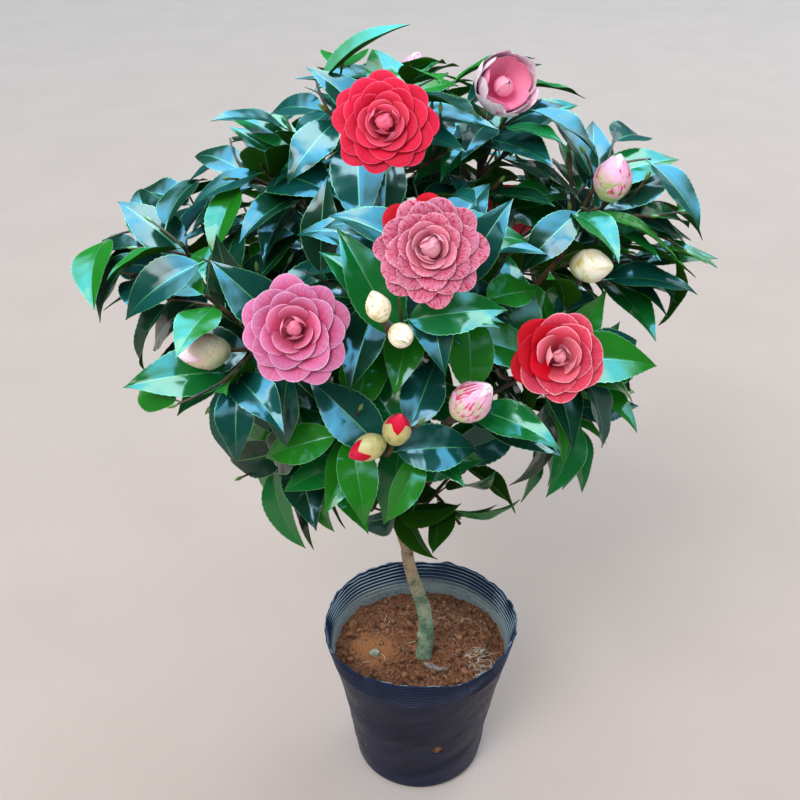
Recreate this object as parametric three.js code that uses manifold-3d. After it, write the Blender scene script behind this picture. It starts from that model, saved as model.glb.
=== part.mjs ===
// A camellia shrub in its soft plastic nursery pot, about 78 cm tall.
// A slender trunk rises from the soil and forks into boughs, and each bough carries one mass of
// foliage: twigs, leaves, blooms and flower buds grown by one seeded rule.
// Millimetres, +Z up, +X to the right and +Y away from the front. The origin is the middle of the
// pot's flat underside.
import * as THREE from "three";
import { mergeVertices } from "three/addons/utils/BufferGeometryUtils.js";
import Module from "manifold-3d";

const wasm = await Module();
wasm.setup();

const v = (x, y, z) => new THREE.Vector3(x, y, z);
const radians = THREE.MathUtils.degToRad;
const { lerp, clamp } = THREE.MathUtils;
const UP = v(0, 0, 1);
const GAP = 0.3; // between two pieces that touch
const GOLDEN_ANGLE = Math.PI * (3 - Math.sqrt(5)); // turn from one leaf or twig to the next

// Pot and soil
const POT_HEIGHT = 182;
const POT_BASE_RADIUS = 68;
const POT_RIM_RADIUS = 100;
const POT_FOOT_ROUNDING = 7;
const POT_WAIST = 2.4; // how far the soft sides draw in at half height
const POT_WALL = 1.2;
const POT_SIDES = 32;
const SOIL_LEVEL = 147;
const DRAIN_HOLES = 4;
const DRAIN_HOLE_RADIUS = 6;
const DRAIN_HOLE_HEIGHT = 69;
const FIRST_DRAIN_HOLE_TURN = -76.5; // degrees from +X, so that one hole shows at the front

// Trunk
const TRUNK_FOOT = v(4, -14, SOIL_LEVEL + GAP);
const TRUNK_LOWER_BEND = v(15, -11, 205); // the trunk is drawn towards each bend in turn
const TRUNK_UPPER_BEND = v(-11, -6, 232);
const TRUNK_FORK = v(-14, -5, 280);
const TRUNK_FOOT_RADIUS = 8;
const TRUNK_FORK_RADIUS = 6;
const ROOT_FLARE = 1.12; // how much wider the foot is than the trunk just above it
const ROOT_FLARE_SHARE = 0.08; // of the trunk's length

// Boughs and twigs
const MAIN_BOUGH_RADIUS = 4.8;
const SIDE_BOUGH_RADIUS = 3.2;
const BOUGH_TIP_RADIUS = 2.3;
const STEM_RADIUS = 2.2;
const TWIG_RADIUS = 1.9;
const TWIG_TIP_RADIUS = 1.5;
const BOUGH_ENTRY = 0.55; // a bough ends this share of a mass's reach short of its centre
const TWIG_REACH = 0.55; // a twig ends at this share of the reach, and its leaves go further
const TWIG_LEAN = [18, 105]; // degrees from outward, of a mass's first and last free twig

// Leaves
const LEAF_LENGTH = 84;
const LEAF_LENGTH_SPREAD = 13; // more or less than that
const LEAF_WIDTH_SHARE = 0.53; // of the length
const LEAF_THICKNESS = 1.3;
const LEAF_ARCH = [12, 52]; // degrees, from the flattest leaf to the most arched
const LEAF_FOLD = [5, 21]; // degrees that a leaf's halves rise from its midrib
const LEAF_TWIST = 12; // degrees either way
const PETIOLE = 6;
const LEAVES_ON_A_TWIG = 9;
const INTERNODE = 8.5; // between the leaves at a twig's tip
const INTERNODE_GROWTH = 0.06; // longer for each leaf back from the tip
const LEAF_SPREAD = 45; // degrees from the twig, for the leaf at its tip
const LEAF_SPREAD_STEP = 6; // degrees more for each leaf back from the tip
const HANGING = [560, 360]; // heights at which leaves start to hang, and hang most
const LEAF_CLEARANCE = 5.2; // between leaves
const LIMB_CLEARANCE = 5; // between a leaf and the bark of a limb
const TWIG_CLEARANCE = 1.5; // between the bark of two limbs
const TWIG_SAMPLES = 8;
const TRIES = 30; // a leaf tries this many lies before it is left out
const FREE_OF_OWN_TWIG = 0.25; // share of a leaf's length that may be close to its own mass's limbs
const FREE_OF_KIN = 0.12; // share that may be close to its own mass's leaves
const FLOWER_ROOM = 4; // round and behind a flower
const BLOOM_NECK = 14; // from a bloom's middle back to its twig
const BLOOM_ROOM = [20, 70]; // that a bloom fills behind its middle, and that stays free before it
const BUD_NECK_SHARE = 0.4; // of a bud's length, from its middle back to its twig
const BUD_ROOM = 40; // that stays free before a bud
const CROWN_MIDDLE = v(-35, 0, 520); // leaves turn their faces up and away from it

// Each mass of foliage: the bough that bears its own, and where along that; its centre, how far it
// reaches sideways and how tall it is for that, how many free twigs it has, and the seed of its
// numbers. All its leaves keep within that reach of its centre. The shoots low on the trunk bear
// few leaves a twig, and the other masses as many as have room.
const MASSES = [
  { name: "top_left", on: "trunk", share: 0.99,
    centre: v(-33, -45, 712), reach: 100, tall: 0.9, twigs: 3, seed: 230 },
  { name: "far_left", on: "trunk", share: 0.97,
    centre: v(-199, -20, 602), reach: 100, tall: 0.7, twigs: 4, seed: 110 },
  { name: "upper_right", on: "trunk", share: 0.95,
    centre: v(128, -30, 654), reach: 100, tall: 0.8, twigs: 4, seed: 301 },
  { name: "back_top", on: "trunk", share: 0.98,
    centre: v(-23, 95, 661), reach: 112, tall: 0.85, twigs: 4, seed: 395 },
  { name: "low_front", on: "trunk", share: 0.92,
    centre: v(-41, -115, 502), reach: 106, tall: 0.72, twigs: 3, seed: 62 },
  { name: "trunk_shoots", on: "trunk", share: 0.88,
    centre: v(3, -28, 377), reach: 95, tall: 0.75, twigs: 3, seed: 3059, bears: 4 },
  { name: "top_right", on: "top_left", share: 0.62,
    centre: v(48, 10, 676), reach: 106, tall: 0.86, twigs: 4, seed: 291 },
  { name: "centre_front", on: "top_left", share: 0.5,
    centre: v(-13, -112, 627), reach: 106, tall: 1, twigs: 4, seed: 17 },
  { name: "upper_left", on: "far_left", share: 0.5,
    centre: v(-99, -15, 660), reach: 108, tall: 0.82, twigs: 4, seed: 50 },
  { name: "left_front", on: "far_left", share: 0.6,
    centre: v(-135, -106, 574), reach: 110, tall: 0.9, twigs: 4, seed: 81 },
  { name: "low_left", on: "far_left", share: 0.25,
    centre: v(-85, -45, 439), reach: 108, tall: 0.95, twigs: 5, seed: 298 },
  { name: "right", on: "upper_right", share: 0.55,
    centre: v(150, -18, 605), reach: 104, tall: 0.7, twigs: 4, seed: 58 },
  { name: "right_front", on: "upper_right", share: 0.4,
    centre: v(88, -105, 555), reach: 102, tall: 0.85, twigs: 4, seed: 3 },
  { name: "low_right", on: "upper_right", share: 0.2,
    centre: v(90, -38, 473), reach: 108, tall: 0.8, twigs: 5, seed: 209 },
  { name: "back_left", on: "back_top", share: 0.5,
    centre: v(-116, 90, 568), reach: 116, tall: 0.85, twigs: 4, seed: 183 },
  { name: "back_right", on: "back_top", share: 0.45,
    centre: v(88, 98, 569), reach: 116, tall: 0.85, twigs: 4, seed: 159 },
  { name: "back_low", on: "back_top", share: 0.22,
    centre: v(-45, 88, 461), reach: 114, tall: 0.85, twigs: 4, seed: 33 },
];

// Each bloom: the mass that bears it, the middle of its face, the way it faces and its radius.
const BLOOMS = [
  { mass: "top_left", at: v(-32, -112, 747), faces: v(-0.05, -0.87, 0.48), radius: 38, form: "open" },
  { mass: "centre_front", at: v(-1, -200, 690), faces: v(0.02, -0.86, 0.5), radius: 39, form: "open" },
  { mass: "left_front", at: v(-96, -180, 619), faces: v(-0.08, -0.84, 0.54), radius: 39, form: "open" },
  { mass: "right_front", at: v(96, -162, 588), faces: v(0.06, -0.86, 0.5), radius: 37, form: "open" },
  { mass: "top_right", at: v(58, -34, 752), faces: v(0.3, -0.83, 0.47), radius: 24, form: "cup" },
  { mass: "back_left", at: v(-128, 176, 566), faces: v(-0.35, 0.84, 0.4), radius: 38, form: "open" },
  { mass: "back_right", at: v(98, 180, 572), faces: v(0.3, 0.86, 0.4), radius: 37, form: "open" },
];

// Each flower bud: the mass that bears it, its middle, the way it points, its radius and length.
const BUDS = [
  { mass: "upper_right", at: v(143, -62, 690), points: v(0.2, 0.05, 0.98), radius: 15, length: 37 },
  { mass: "right", at: v(128, -92, 629), points: v(0.75, -0.62, 0.25), radius: 13.5, length: 36 },
  { mass: "left_front", at: v(-169, -150, 585), points: v(-0.85, -0.5, 0.2), radius: 14, length: 41 },
  { mass: "right_front", at: v(32, -190, 567), points: v(0.62, -0.15, 0.7), radius: 15, length: 38 },
  { mass: "centre_front", at: v(-36, -218, 657), points: v(-0.3, -0.05, 0.95), radius: 8.5, length: 23 },
  { mass: "centre_front", at: v(-20, -222, 636), points: v(0.35, -0.75, 0.0), radius: 8.5, length: 22 },
  { mass: "low_front", at: v(-23, -190, 543), points: v(0.2, -0.15, 0.97), radius: 11, length: 28 },
  { mass: "low_front", at: v(-46, -195, 528), points: v(-0.85, -0.5, -0.15), radius: 10.5, length: 30 },
  { mass: "back_top", at: v(-8, 170, 712), points: v(0.2, 0.6, 0.75), radius: 14, length: 36 },
  { mass: "back_low", at: v(-40, 168, 500), points: v(-0.3, 0.85, 0.3), radius: 11, length: 29 },
];

// Seeded numbers from 0 to 1, the same ones each time.
function seeded(seed) {
  let state = seed >>> 0;
  return () => {
    state = (state + 0x6d2b79f5) >>> 0;
    let t = Math.imul(state ^ (state >>> 15), state | 1);
    t ^= t + Math.imul(t ^ (t >>> 7), t | 61);
    return ((t ^ (t >>> 14)) >>> 0) / 4294967296;
  };
}

const along = (start, direction, distance) => start.clone().addScaledVector(direction, distance);
const unit = (from, to) => to.clone().sub(from).normalize();

// The part of a that stands square to the unit vector n, made a unit vector.
const squareTo = (n, a) => a.clone().addScaledVector(n, -a.dot(n)).normalize();

// Two unit vectors square to n and to each other.
function sidesOf(n) {
  const first = squareTo(n, Math.abs(n.z) < 0.9 ? UP : v(1, 0, 0));
  return [first, n.clone().cross(first)];
}

// Stations along a limb that is drawn towards two bends in turn: where each lies, which way the
// limb runs there and its radius.
function curvedLimb([start, lower, upper, end], startRadius, endRadius, steps) {
  const stations = [];
  for (let i = 0; i <= steps; i++) {
    const t = i / steps;
    const s = 1 - t;
    const at = v(0, 0, 0)
      .addScaledVector(start, s * s * s)
      .addScaledVector(lower, 3 * s * s * t)
      .addScaledVector(upper, 3 * s * t * t)
      .addScaledVector(end, t * t * t);
    const runs = v(0, 0, 0)
      .addScaledVector(lower.clone().sub(start), s * s)
      .addScaledVector(upper.clone().sub(lower), 2 * s * t)
      .addScaledVector(end.clone().sub(upper), t * t)
      .normalize();
    stations.push({ at, runs, radius: lerp(startRadius, endRadius, t) });
  }
  return stations;
}

// A limb that bends once.
function bentLimb(start, bend, end, startRadius, endRadius, steps) {
  const path = [start, start.clone().lerp(bend, 2 / 3), end.clone().lerp(bend, 2 / 3), end];
  return curvedLimb(path, startRadius, endRadius, steps);
}

// The station at a share of a limb's stations, from 0 at its start to 1 at its tip.
function stationAt(stations, share) {
  const place = clamp(share, 0, 1) * (stations.length - 1);
  const i = Math.min(Math.floor(place), stations.length - 2);
  const t = place - i;
  return {
    at: stations[i].at.clone().lerp(stations[i + 1].at, t),
    runs: stations[i].runs.clone().lerp(stations[i + 1].runs, t).normalize(),
    radius: lerp(stations[i].radius, stations[i + 1].radius, t),
  };
}

function lengthOf(stations) {
  let sum = 0;
  for (let i = 1; i < stations.length; i++) sum += stations[i].at.distanceTo(stations[i - 1].at);
  return sum;
}

function trunkStations() {
  const steps = 10;
  const path = [TRUNK_FOOT, TRUNK_LOWER_BEND, TRUNK_UPPER_BEND, TRUNK_FORK];
  const stations = curvedLimb(path, TRUNK_FOOT_RADIUS, TRUNK_FORK_RADIUS, steps);
  stations[0].runs.copy(UP); // a flat, level cut
  stations.forEach((s, i) => {
    const flare = Math.exp(-i / steps / ROOT_FLARE_SHARE);
    s.radius *= 1 + (ROOT_FLARE - 1) * flare;
  });
  return stations;
}

// A mass's bough rises from the limb that bears it and arches out to where it enters the mass.
function boughStations(mass, bearer) {
  const from = stationAt(bearer, mass.share);
  const outward = unit(from.at, mass.centre);
  const tip = along(mass.centre, outward, -BOUGH_ENTRY * mass.reach);
  const span = from.at.distanceTo(tip);
  const leave = from.runs.clone().lerp(outward, 0.4).normalize();
  const control = along(from.at, leave, 0.5 * span);
  const startRadius = mass.on === "trunk" ? MAIN_BOUGH_RADIUS : SIDE_BOUGH_RADIUS;
  const startsAt = Math.min(startRadius, from.radius * 0.9);
  return bentLimb(from.at, control, tip, startsAt, BOUGH_TIP_RADIUS, 5);
}

// A mass's stem carries on from its bough's tip to the mass's centre.
function stemStations(mass, bough) {
  const tip = bough[bough.length - 1];
  const start = along(tip.at, tip.runs, GAP);
  const control = along(start, tip.runs, 0.4 * start.distanceTo(mass.centre));
  const stem = bentLimb(start, control, mass.centre, STEM_RADIUS, TWIG_RADIUS, 2);
  stem[0].runs.copy(tip.runs);
  return stem;
}

// Free twigs fan out from the stem, each a golden turn round from the last.
function freeTwig(mass, stem, k, random) {
  const outward = unit(CROWN_MIDDLE, mass.centre);
  const [side, other] = sidesOf(outward);
  const turn = (k + 0.6 * random()) * GOLDEN_ANGLE;
  const lean = radians(lerp(...TWIG_LEAN, (k + 0.5) / mass.twigs));
  const way = outward
    .clone()
    .multiplyScalar(Math.cos(lean))
    .addScaledVector(side, Math.sin(lean) * Math.cos(turn))
    .addScaledVector(other, Math.sin(lean) * Math.sin(turn))
    .addScaledVector(UP, 0.2)
    .normalize();
  const from = stationAt(stem, 1 - 0.7 * (k / mass.twigs));
  const tip = along(mass.centre, way, TWIG_REACH * mass.reach * lerp(0.85, 1.1, random()));
  tip.z = lerp(mass.centre.z, tip.z, mass.tall);
  const leave = from.runs.clone().lerp(way, 0.8).normalize();
  const control = along(from.at, leave, 0.5 * from.at.distanceTo(tip));
  return bentLimb(from.at, control, tip, TWIG_RADIUS, TWIG_TIP_RADIUS, 3);
}

// A twig that ends in a bloom or bud comes up behind it.
function flowerTwig(stem, back, faces, j) {
  const from = stationAt(stem, 0.85 - 0.25 * j);
  const control = along(back, faces, -0.45 * from.at.distanceTo(back));
  return bentLimb(from.at, control, back, TWIG_RADIUS, TWIG_TIP_RADIUS + 0.3, 3);
}

// The shape of a leaf's half-width along its midrib, 0 at both ends and 1 where it is widest.
const WIDEST = 0.4;
const TIP_TAPER = 1.2;
const FOOT_TAPER = (TIP_TAPER * WIDEST) / (1 - WIDEST);
const WIDTH_AT_WIDEST = Math.pow(WIDEST, FOOT_TAPER) * Math.pow(1 - WIDEST, TIP_TAPER);
const halfWidth = (t) => (Math.pow(t, FOOT_TAPER) * Math.pow(1 - t, TIP_TAPER)) / WIDTH_AT_WIDEST;

// Where a leaf's midrib is at a share t of its length, and how far its right edge lies aside of
// that and above it. The blade is folded along its midrib, arches down to its tip and twists.
function leafStation(leaf, t) {
  const bend = leaf.arch * t;
  const turn = leaf.twist * t;
  const half = 0.5 * leaf.width * halfWidth(t);
  const face = v(0, 0, 0)
    .addScaledVector(leaf.face, Math.cos(bend))
    .addScaledVector(leaf.runs, Math.sin(bend));
  const side = v(0, 0, 0).addScaledVector(leaf.side, Math.cos(turn)).addScaledVector(face, Math.sin(turn));
  const above = face.multiplyScalar(Math.cos(turn)).addScaledVector(leaf.side, -Math.sin(turn));
  return {
    midrib: leaf.foot
      .clone()
      .addScaledVector(leaf.runs, (leaf.length * Math.sin(bend)) / leaf.arch)
      .addScaledVector(leaf.face, (-leaf.length * (1 - Math.cos(bend))) / leaf.arch),
    aside: side.multiplyScalar(half * Math.cos(leaf.fold)),
    rise: above.clone().multiplyScalar(half * Math.sin(leaf.fold)),
    above,
  };
}

// A point of that station: u runs from -1 at the left edge to 1 at the right edge.
const across = (station, u) =>
  station.midrib.clone().addScaledVector(station.aside, u).addScaledVector(station.rise, Math.abs(u));

// One way for a leaf to lie, drawn from its own seeded numbers.
function drawLeaf(station, j, k, random) {
  const [side, other] = sidesOf(station.runs);
  const turn = j * GOLDEN_ANGLE + k + 0.9 * (random() - 0.5);
  const spread = radians(LEAF_SPREAD + LEAF_SPREAD_STEP * j + 24 * (random() - 0.5));
  const low = clamp((HANGING[0] - station.at.z) / (HANGING[0] - HANGING[1]), 0, 1);
  const runs = station.runs
    .clone()
    .multiplyScalar(Math.cos(spread))
    .addScaledVector(side, Math.sin(spread) * Math.cos(turn))
    .addScaledVector(other, Math.sin(spread) * Math.sin(turn))
    .addScaledVector(UP, -lerp(0, 0.6, low) - 0.2 * random())
    .normalize();
  const outward = unit(CROWN_MIDDLE, station.at);
  const tilt = v(random() - 0.5, random() - 0.5, random() - 0.5);
  const wanted = outward
    .multiplyScalar(lerp(0.6, 0.9, low))
    .addScaledVector(UP, 0.7)
    .addScaledVector(tilt, 0.7);
  const face = squareTo(runs, wanted);
  const age = j < 2 ? 0.86 : 1; // the last leaves of a twig are younger and smaller
  const length = age * (LEAF_LENGTH + LEAF_LENGTH_SPREAD * (2 * random() - 1));
  return {
    root: station.at,
    foot: along(station.at, runs, PETIOLE),
    runs,
    face,
    side: runs.clone().cross(face),
    length,
    width: length * LEAF_WIDTH_SHARE * lerp(0.88, 1.12, random()),
    arch: radians(lerp(...LEAF_ARCH, random())),
    fold: radians(lerp(...LEAF_FOLD, random())),
    twist: radians(LEAF_TWIST * (2 * random() - 1)),
  };
}

// Points spread over a leaf closely enough that a leaf clear of them is clear of the leaf. They
// start at its tip and skip about, so that the check for room soon meets one that has none.
const SAMPLES_ALONG = 18;
const SAMPLES_ACROSS = 6;
function samplesOf(leaf) {
  const points = [];
  for (let i = 0; i <= SAMPLES_ALONG; i++) {
    const t = ((SAMPLES_ALONG + 11 * i) % (SAMPLES_ALONG + 1)) / SAMPLES_ALONG;
    const station = leafStation(leaf, t);
    for (let j = 0; j <= SAMPLES_ACROSS; j++)
      points.push({ at: across(station, (2 * j) / SAMPLES_ACROSS - 1), t });
  }
  return points;
}

function distanceToSegment(p, a, b) {
  const [x, y, z] = [b.x - a.x, b.y - a.y, b.z - a.z];
  const along = (p.x - a.x) * x + (p.y - a.y) * y + (p.z - a.z) * z;
  const t = clamp(along / (x * x + y * y + z * z), 0, 1);
  return Math.hypot(p.x - a.x - t * x, p.y - a.y - t * y, p.z - a.z - t * z);
}

// How far a point is from a limb's bark.
function distanceToLimb(p, { stations }) {
  let least = Infinity;
  for (let i = 1; i < stations.length; i++) {
    const last = stations[i - 1];
    least = Math.min(least, distanceToSegment(p, last.at, stations[i].at) - last.radius);
  }
  return least;
}

// The number of the small cube of space that a point is in. Next door is 1, a row or a layer on.
const ROW = 512;
const LAYER = ROW * ROW;
const cubeOf = ({ x, y, z }) =>
  (Math.floor(x / LEAF_CLEARANCE) + ROW / 2) * LAYER +
  (Math.floor(y / LEAF_CLEARANCE) + ROW / 2) * ROW +
  Math.floor(z / LEAF_CLEARANCE);

// What grows so far, and whether there is room for one more leaf.
class Crown {
  constructor() {
    this.limbs = []; // each { stations, mass }
    this.flowers = []; // each { at, faces, radius, behind, before, mass }
    this.taken = new Map(); // the leaf points in each small cube of space
  }

  hasRoomFor(points, mass) {
    return points.every(({ at, t }) => {
      const from = at.clone().sub(mass.centre);
      from.z /= mass.tall;
      if (from.length() > mass.reach) return false;
      return this.clearOfLimbs(at, t, mass) && this.clearOfFlowers(at) && this.clearOfLeaves(at, t, mass);
    });
  }

  clearOfLimbs(at, t, mass) {
    return this.limbs.every((limb) => {
      if (limb.mass === mass.name && t < FREE_OF_OWN_TWIG) return true;
      const far = at.distanceTo(limb.middle) > limb.span + LIMB_CLEARANCE;
      return far || distanceToLimb(at, limb) > LIMB_CLEARANCE;
    });
  }

  // A twig keeps clear of the trunk, the boughs and the twigs of other masses.
  hasRoomForTwig(stations, mass) {
    const others = this.limbs.filter((limb) => limb.mass !== mass.name);
    for (let i = 0; i <= TWIG_SAMPLES; i++) {
      const { at, radius } = stationAt(stations, i / TWIG_SAMPLES);
      if (others.some((limb) => distanceToLimb(at, limb) < radius + TWIG_CLEARANCE)) return false;
    }
    return true;
  }

  // A flower keeps the space that it fills, and some air before its face.
  clearOfFlowers(at) {
    return this.flowers.every((f) => {
      const from = at.clone().sub(f.at);
      const ahead = from.dot(f.faces);
      const aside = along(from, f.faces, -ahead).length();
      return ahead < -f.behind || ahead > f.before || aside > f.radius;
    });
  }

  clearOfLeaves(at, t, mass) {
    const cube = cubeOf(at);
    for (let dx = -LAYER; dx <= LAYER; dx += LAYER)
      for (let dy = -ROW; dy <= ROW; dy += ROW)
        for (let dz = -1; dz <= 1; dz++)
          for (const other of this.taken.get(cube + dx + dy + dz) ?? []) {
            const kin = other.mass === mass.name && Math.min(t, other.t) < FREE_OF_KIN;
            if (!kin && at.distanceTo(other.at) < LEAF_CLEARANCE) return false;
          }
    return true;
  }

  addLimb(stations, mass) {
    const middle = stationAt(stations, 0.5).at;
    const span = Math.max(...stations.map((s) => s.at.distanceTo(middle) + s.radius));
    this.limbs.push({ stations, mass, middle, span });
  }

  addLeaf(points, mass) {
    for (const { at, t } of points) {
      const cube = cubeOf(at);
      if (!this.taken.has(cube)) this.taken.set(cube, []);
      this.taken.get(cube).push({ at, t, mass: mass.name });
    }
  }
}

// A flower's twig ends at its neck, behind its middle. Leaves keep out from behind it to before it.
const bloomInPlace = (bloom) => ({
  ...bloom,
  faces: bloom.faces.clone().normalize(),
  neck: BLOOM_NECK,
  behind: BLOOM_ROOM[0],
  before: BLOOM_ROOM[1],
});
const budInPlace = (bud) => ({
  ...bud,
  form: "bud",
  faces: bud.points.clone().normalize(),
  neck: BUD_NECK_SHARE * bud.length,
  behind: bud.length / 2,
  before: BUD_ROOM,
});

// Grows the whole plant: limbs first, then flowers, then leaves where there is room.
function grow() {
  const crown = new Crown();
  const trunk = trunkStations();
  crown.addLimb(trunk, "trunk");
  const boughs = new Map([["trunk", trunk]]);
  for (const mass of MASSES) {
    const bough = boughStations(mass, boughs.get(mass.on));
    boughs.set(mass.name, bough);
    crown.addLimb(bough, "bough");
  }
  const grown = MASSES.map((mass) => {
    const stem = stemStations(mass, boughs.get(mass.name));
    const blooms = BLOOMS.filter((b) => b.mass === mass.name);
    const buds = BUDS.filter((b) => b.mass === mass.name);
    const flowers = [...blooms.map(bloomInPlace), ...buds.map(budInPlace)];
    const twigs = [];
    flowers.forEach((f, j) => {
      twigs.push({ stations: flowerTwig(stem, along(f.at, f.faces, -f.neck), f.faces, j), flower: f });
      crown.flowers.push({ ...f, radius: f.radius + FLOWER_ROOM, behind: f.behind + FLOWER_ROOM });
    });
    for (let k = 0; k < mass.twigs; k++) {
      const stations = freeTwig(mass, stem, k, seeded(1000 * mass.seed + k));
      if (crown.hasRoomForTwig(stations, mass)) twigs.push({ stations });
    }
    crown.addLimb(stem, mass.name);
    twigs.forEach((t) => crown.addLimb(t.stations, mass.name));
    return { mass, stem, twigs, flowers, leaves: [] };
  });
  grown.forEach(({ mass, twigs, leaves }) => {
    twigs.forEach(({ stations, flower }, k) => {
      const length = lengthOf(stations);
      for (let j = 0; j < (mass.bears ?? LEAVES_ON_A_TWIG); j++) {
        const back = (flower ? 8 : 4) + INTERNODE * j * (1 + INTERNODE_GROWTH * j);
        if (back > 0.85 * length) break;
        const station = stationAt(stations, 1 - back / length);
        const random = seeded(100000 * mass.seed + 1000 * k + 10 * j);
        for (let n = 0; n < TRIES; n++) {
          const leaf = drawLeaf(station, j, k, random);
          const points = samplesOf(leaf);
          if (crown.hasRoomFor(points, mass)) {
            crown.addLeaf(points, mass);
            leaves.push(leaf);
            break;
          }
        }
      }
    });
  });
  return { trunk, boughs, grown };
}

// Solids. Each is made as a closed mesh from its rings of points and then joined or cut.
function solidFrom(points, faces) {
  const geometry = new THREE.BufferGeometry()
    .setAttribute("position", new THREE.Float32BufferAttribute(points.flatMap((p) => [p.x, p.y, p.z]), 3))
    .setIndex(faces.flat());
  const merged = mergeVertices(geometry, 1e-3);
  return new wasm.Manifold(
    new wasm.Mesh({
      numProp: 3,
      vertProperties: merged.attributes.position.array,
      triVerts: new Uint32Array(merged.index.array),
    }),
  );
}

// A closed skin over rings of equal size, with a point or a flat fan at each end.
function skin(rings, first = null, last = null) {
  const n = rings[0].length;
  const points = rings.flat();
  const faces = [];
  for (let r = 0; r + 1 < rings.length; r++)
    for (let i = 0; i < n; i++) {
      const a = r * n + i;
      const b = r * n + ((i + 1) % n);
      faces.push([a, b, b + n], [a, b + n, a + n]);
    }
  const cap = (ring, apex, forwards) => {
    if (apex) {
      points.push(apex);
      const top = points.length - 1;
      for (let i = 0; i < n; i++) {
        const [a, b] = [ring * n + i, ring * n + ((i + 1) % n)];
        faces.push(forwards ? [a, b, top] : [b, a, top]);
      }
    } else
      for (let i = 1; i + 1 < n; i++) {
        const [a, b, c] = [ring * n, ring * n + i, ring * n + i + 1];
        faces.push(forwards ? [a, b, c] : [a, c, b]);
      }
  };
  cap(0, first, false);
  cap(rings.length - 1, last, true);
  return solidFrom(points, faces);
}

function limbSolid(stations, sides, grown = 0) {
  let [side] = sidesOf(stations[0].runs);
  const rings = stations.map(({ at, runs, radius }) => {
    side = squareTo(runs, side);
    const other = runs.clone().cross(side);
    return Array.from({ length: sides }, (_, i) => {
      const turn = (2 * Math.PI * i) / sides;
      return at
        .clone()
        .addScaledVector(side, (radius + grown) * Math.cos(turn))
        .addScaledVector(other, (radius + grown) * Math.sin(turn));
    });
  });
  return skin(rings);
}

// A leaf's solid has its root inside the twig, two stations of its two edges and the keel of its
// midrib, and its tip.
const LEAF_STATIONS = [0.27, 0.66];
function leafSolid(leaf) {
  const root = along(leaf.root, leaf.runs, -0.2 * TWIG_TIP_RADIUS);
  const rings = LEAF_STATIONS.map((t) => {
    const station = leafStation(leaf, t);
    const keel = along(station.midrib, station.above, -LEAF_THICKNESS);
    return [across(station, -1), across(station, 1), keel];
  });
  return skin(rings, root, leafStation(leaf, 1).midrib);
}

// Rings round a flower's axis. Each is its share of the radius, its height and its petals' depth.
function flowerSolid(flower, profile, petals, first, last) {
  const [side, other] = sidesOf(flower.faces);
  const sides = 2 * petals;
  const rings = profile.map(([share, height, depth, shifted]) =>
    Array.from({ length: sides }, (_, i) => {
      const turn = (2 * Math.PI * i) / sides;
      const crest = (i + (shifted ? 1 : 0)) % 2 === 0 ? 1 : 1 - depth;
      const r = share * flower.radius * crest;
      return along(flower.at, flower.faces, height)
        .addScaledVector(side, r * Math.cos(turn))
        .addScaledVector(other, r * Math.sin(turn));
    }),
  );
  return skin(rings, along(flower.at, flower.faces, first), along(flower.at, flower.faces, last));
}

// An open bloom has tiers of petals that step up to a closed middle.
function openBloomSolid(flower) {
  const profile = [
    [0.3, -11, 0, 0],
    [1, -5, 0.08, 0],
    [0.98, -2, 0.08, 0],
    [0.76, -1, 0, 0],
    [0.72, 6, 0.09, 1],
    [0.46, 6, 0, 0],
    [0.4, 12, 0.1, 0],
  ];
  return flowerSolid(flower, profile, 7, -16, 13);
}

// A half-open bloom is a cup of petals round a pointed middle.
function cupBloomSolid(flower) {
  const profile = [
    [0.2, -16, 0, 0],
    [0.75, -11, 0, 0],
    [1, 0, 0.05, 0],
    [0.95, 15, 0.08, 0],
    [0.8, 14, 0.06, 0],
    [0.62, 0, 0, 0],
    [0.3, -2, 0, 0],
  ];
  return flowerSolid(flower, profile, 6, -18, 9);
}

// A flower bud is an egg with its narrow end forwards.
function budSolid(flower) {
  const rings = [-0.36, 0, 0.3];
  const girth = [0.75, 1, 0.66];
  const profile = rings.map((place, i) => [girth[i], place * flower.length, 0, 0]);
  return flowerSolid(flower, profile, 4, -0.48 * flower.length, 0.5 * flower.length);
}

const FLOWER_SOLIDS = { open: openBloomSolid, cup: cupBloomSolid, bud: budSolid };

function massSolid({ stem, twigs, flowers, leaves }) {
  const pieces = [
    limbSolid(stem, 4),
    ...twigs.map((t) => limbSolid(t.stations, 3)),
    ...leaves.map(leafSolid),
    ...flowers.map((f) => FLOWER_SOLIDS[f.form](f)),
  ];
  return largest(wasm.Manifold.union(pieces));
}

// The largest body of a solid: loose scraps and sealed hollows are dropped.
function largest(solid) {
  const bodies = solid.decompose();
  return bodies.reduce((a, b) => (b.volume() > a.volume() ? b : a));
}

// The pot's soft wall waves a little, most of all at its rim.
function potPoint(turn, height, inset) {
  const share = height / POT_HEIGHT;
  const wave = share ** 3 * (1.6 * Math.sin(2 * turn + 0.6) + 0.9 * Math.sin(5 * turn + 1.9));
  const rimLift = share ** 6 * (1.8 * Math.sin(3 * turn + 0.8) + 1.1 * Math.sin(7 * turn));
  const foot = Math.max(0, POT_FOOT_ROUNDING - height);
  const rounding = POT_FOOT_ROUNDING - Math.sqrt(POT_FOOT_ROUNDING ** 2 - foot ** 2);
  const waist = POT_WAIST * Math.sin(Math.PI * share);
  const r = lerp(POT_BASE_RADIUS, POT_RIM_RADIUS, share) - 0.6 * rounding - waist + wave - inset;
  return v(r * Math.cos(turn), r * Math.sin(turn), height + rimLift);
}

function potRing(height, inset, lift = 0) {
  return Array.from({ length: POT_SIDES }, (_, i) => {
    const p = potPoint((2 * Math.PI * i) / POT_SIDES, height, inset);
    p.z += lift;
    return p;
  });
}

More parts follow.
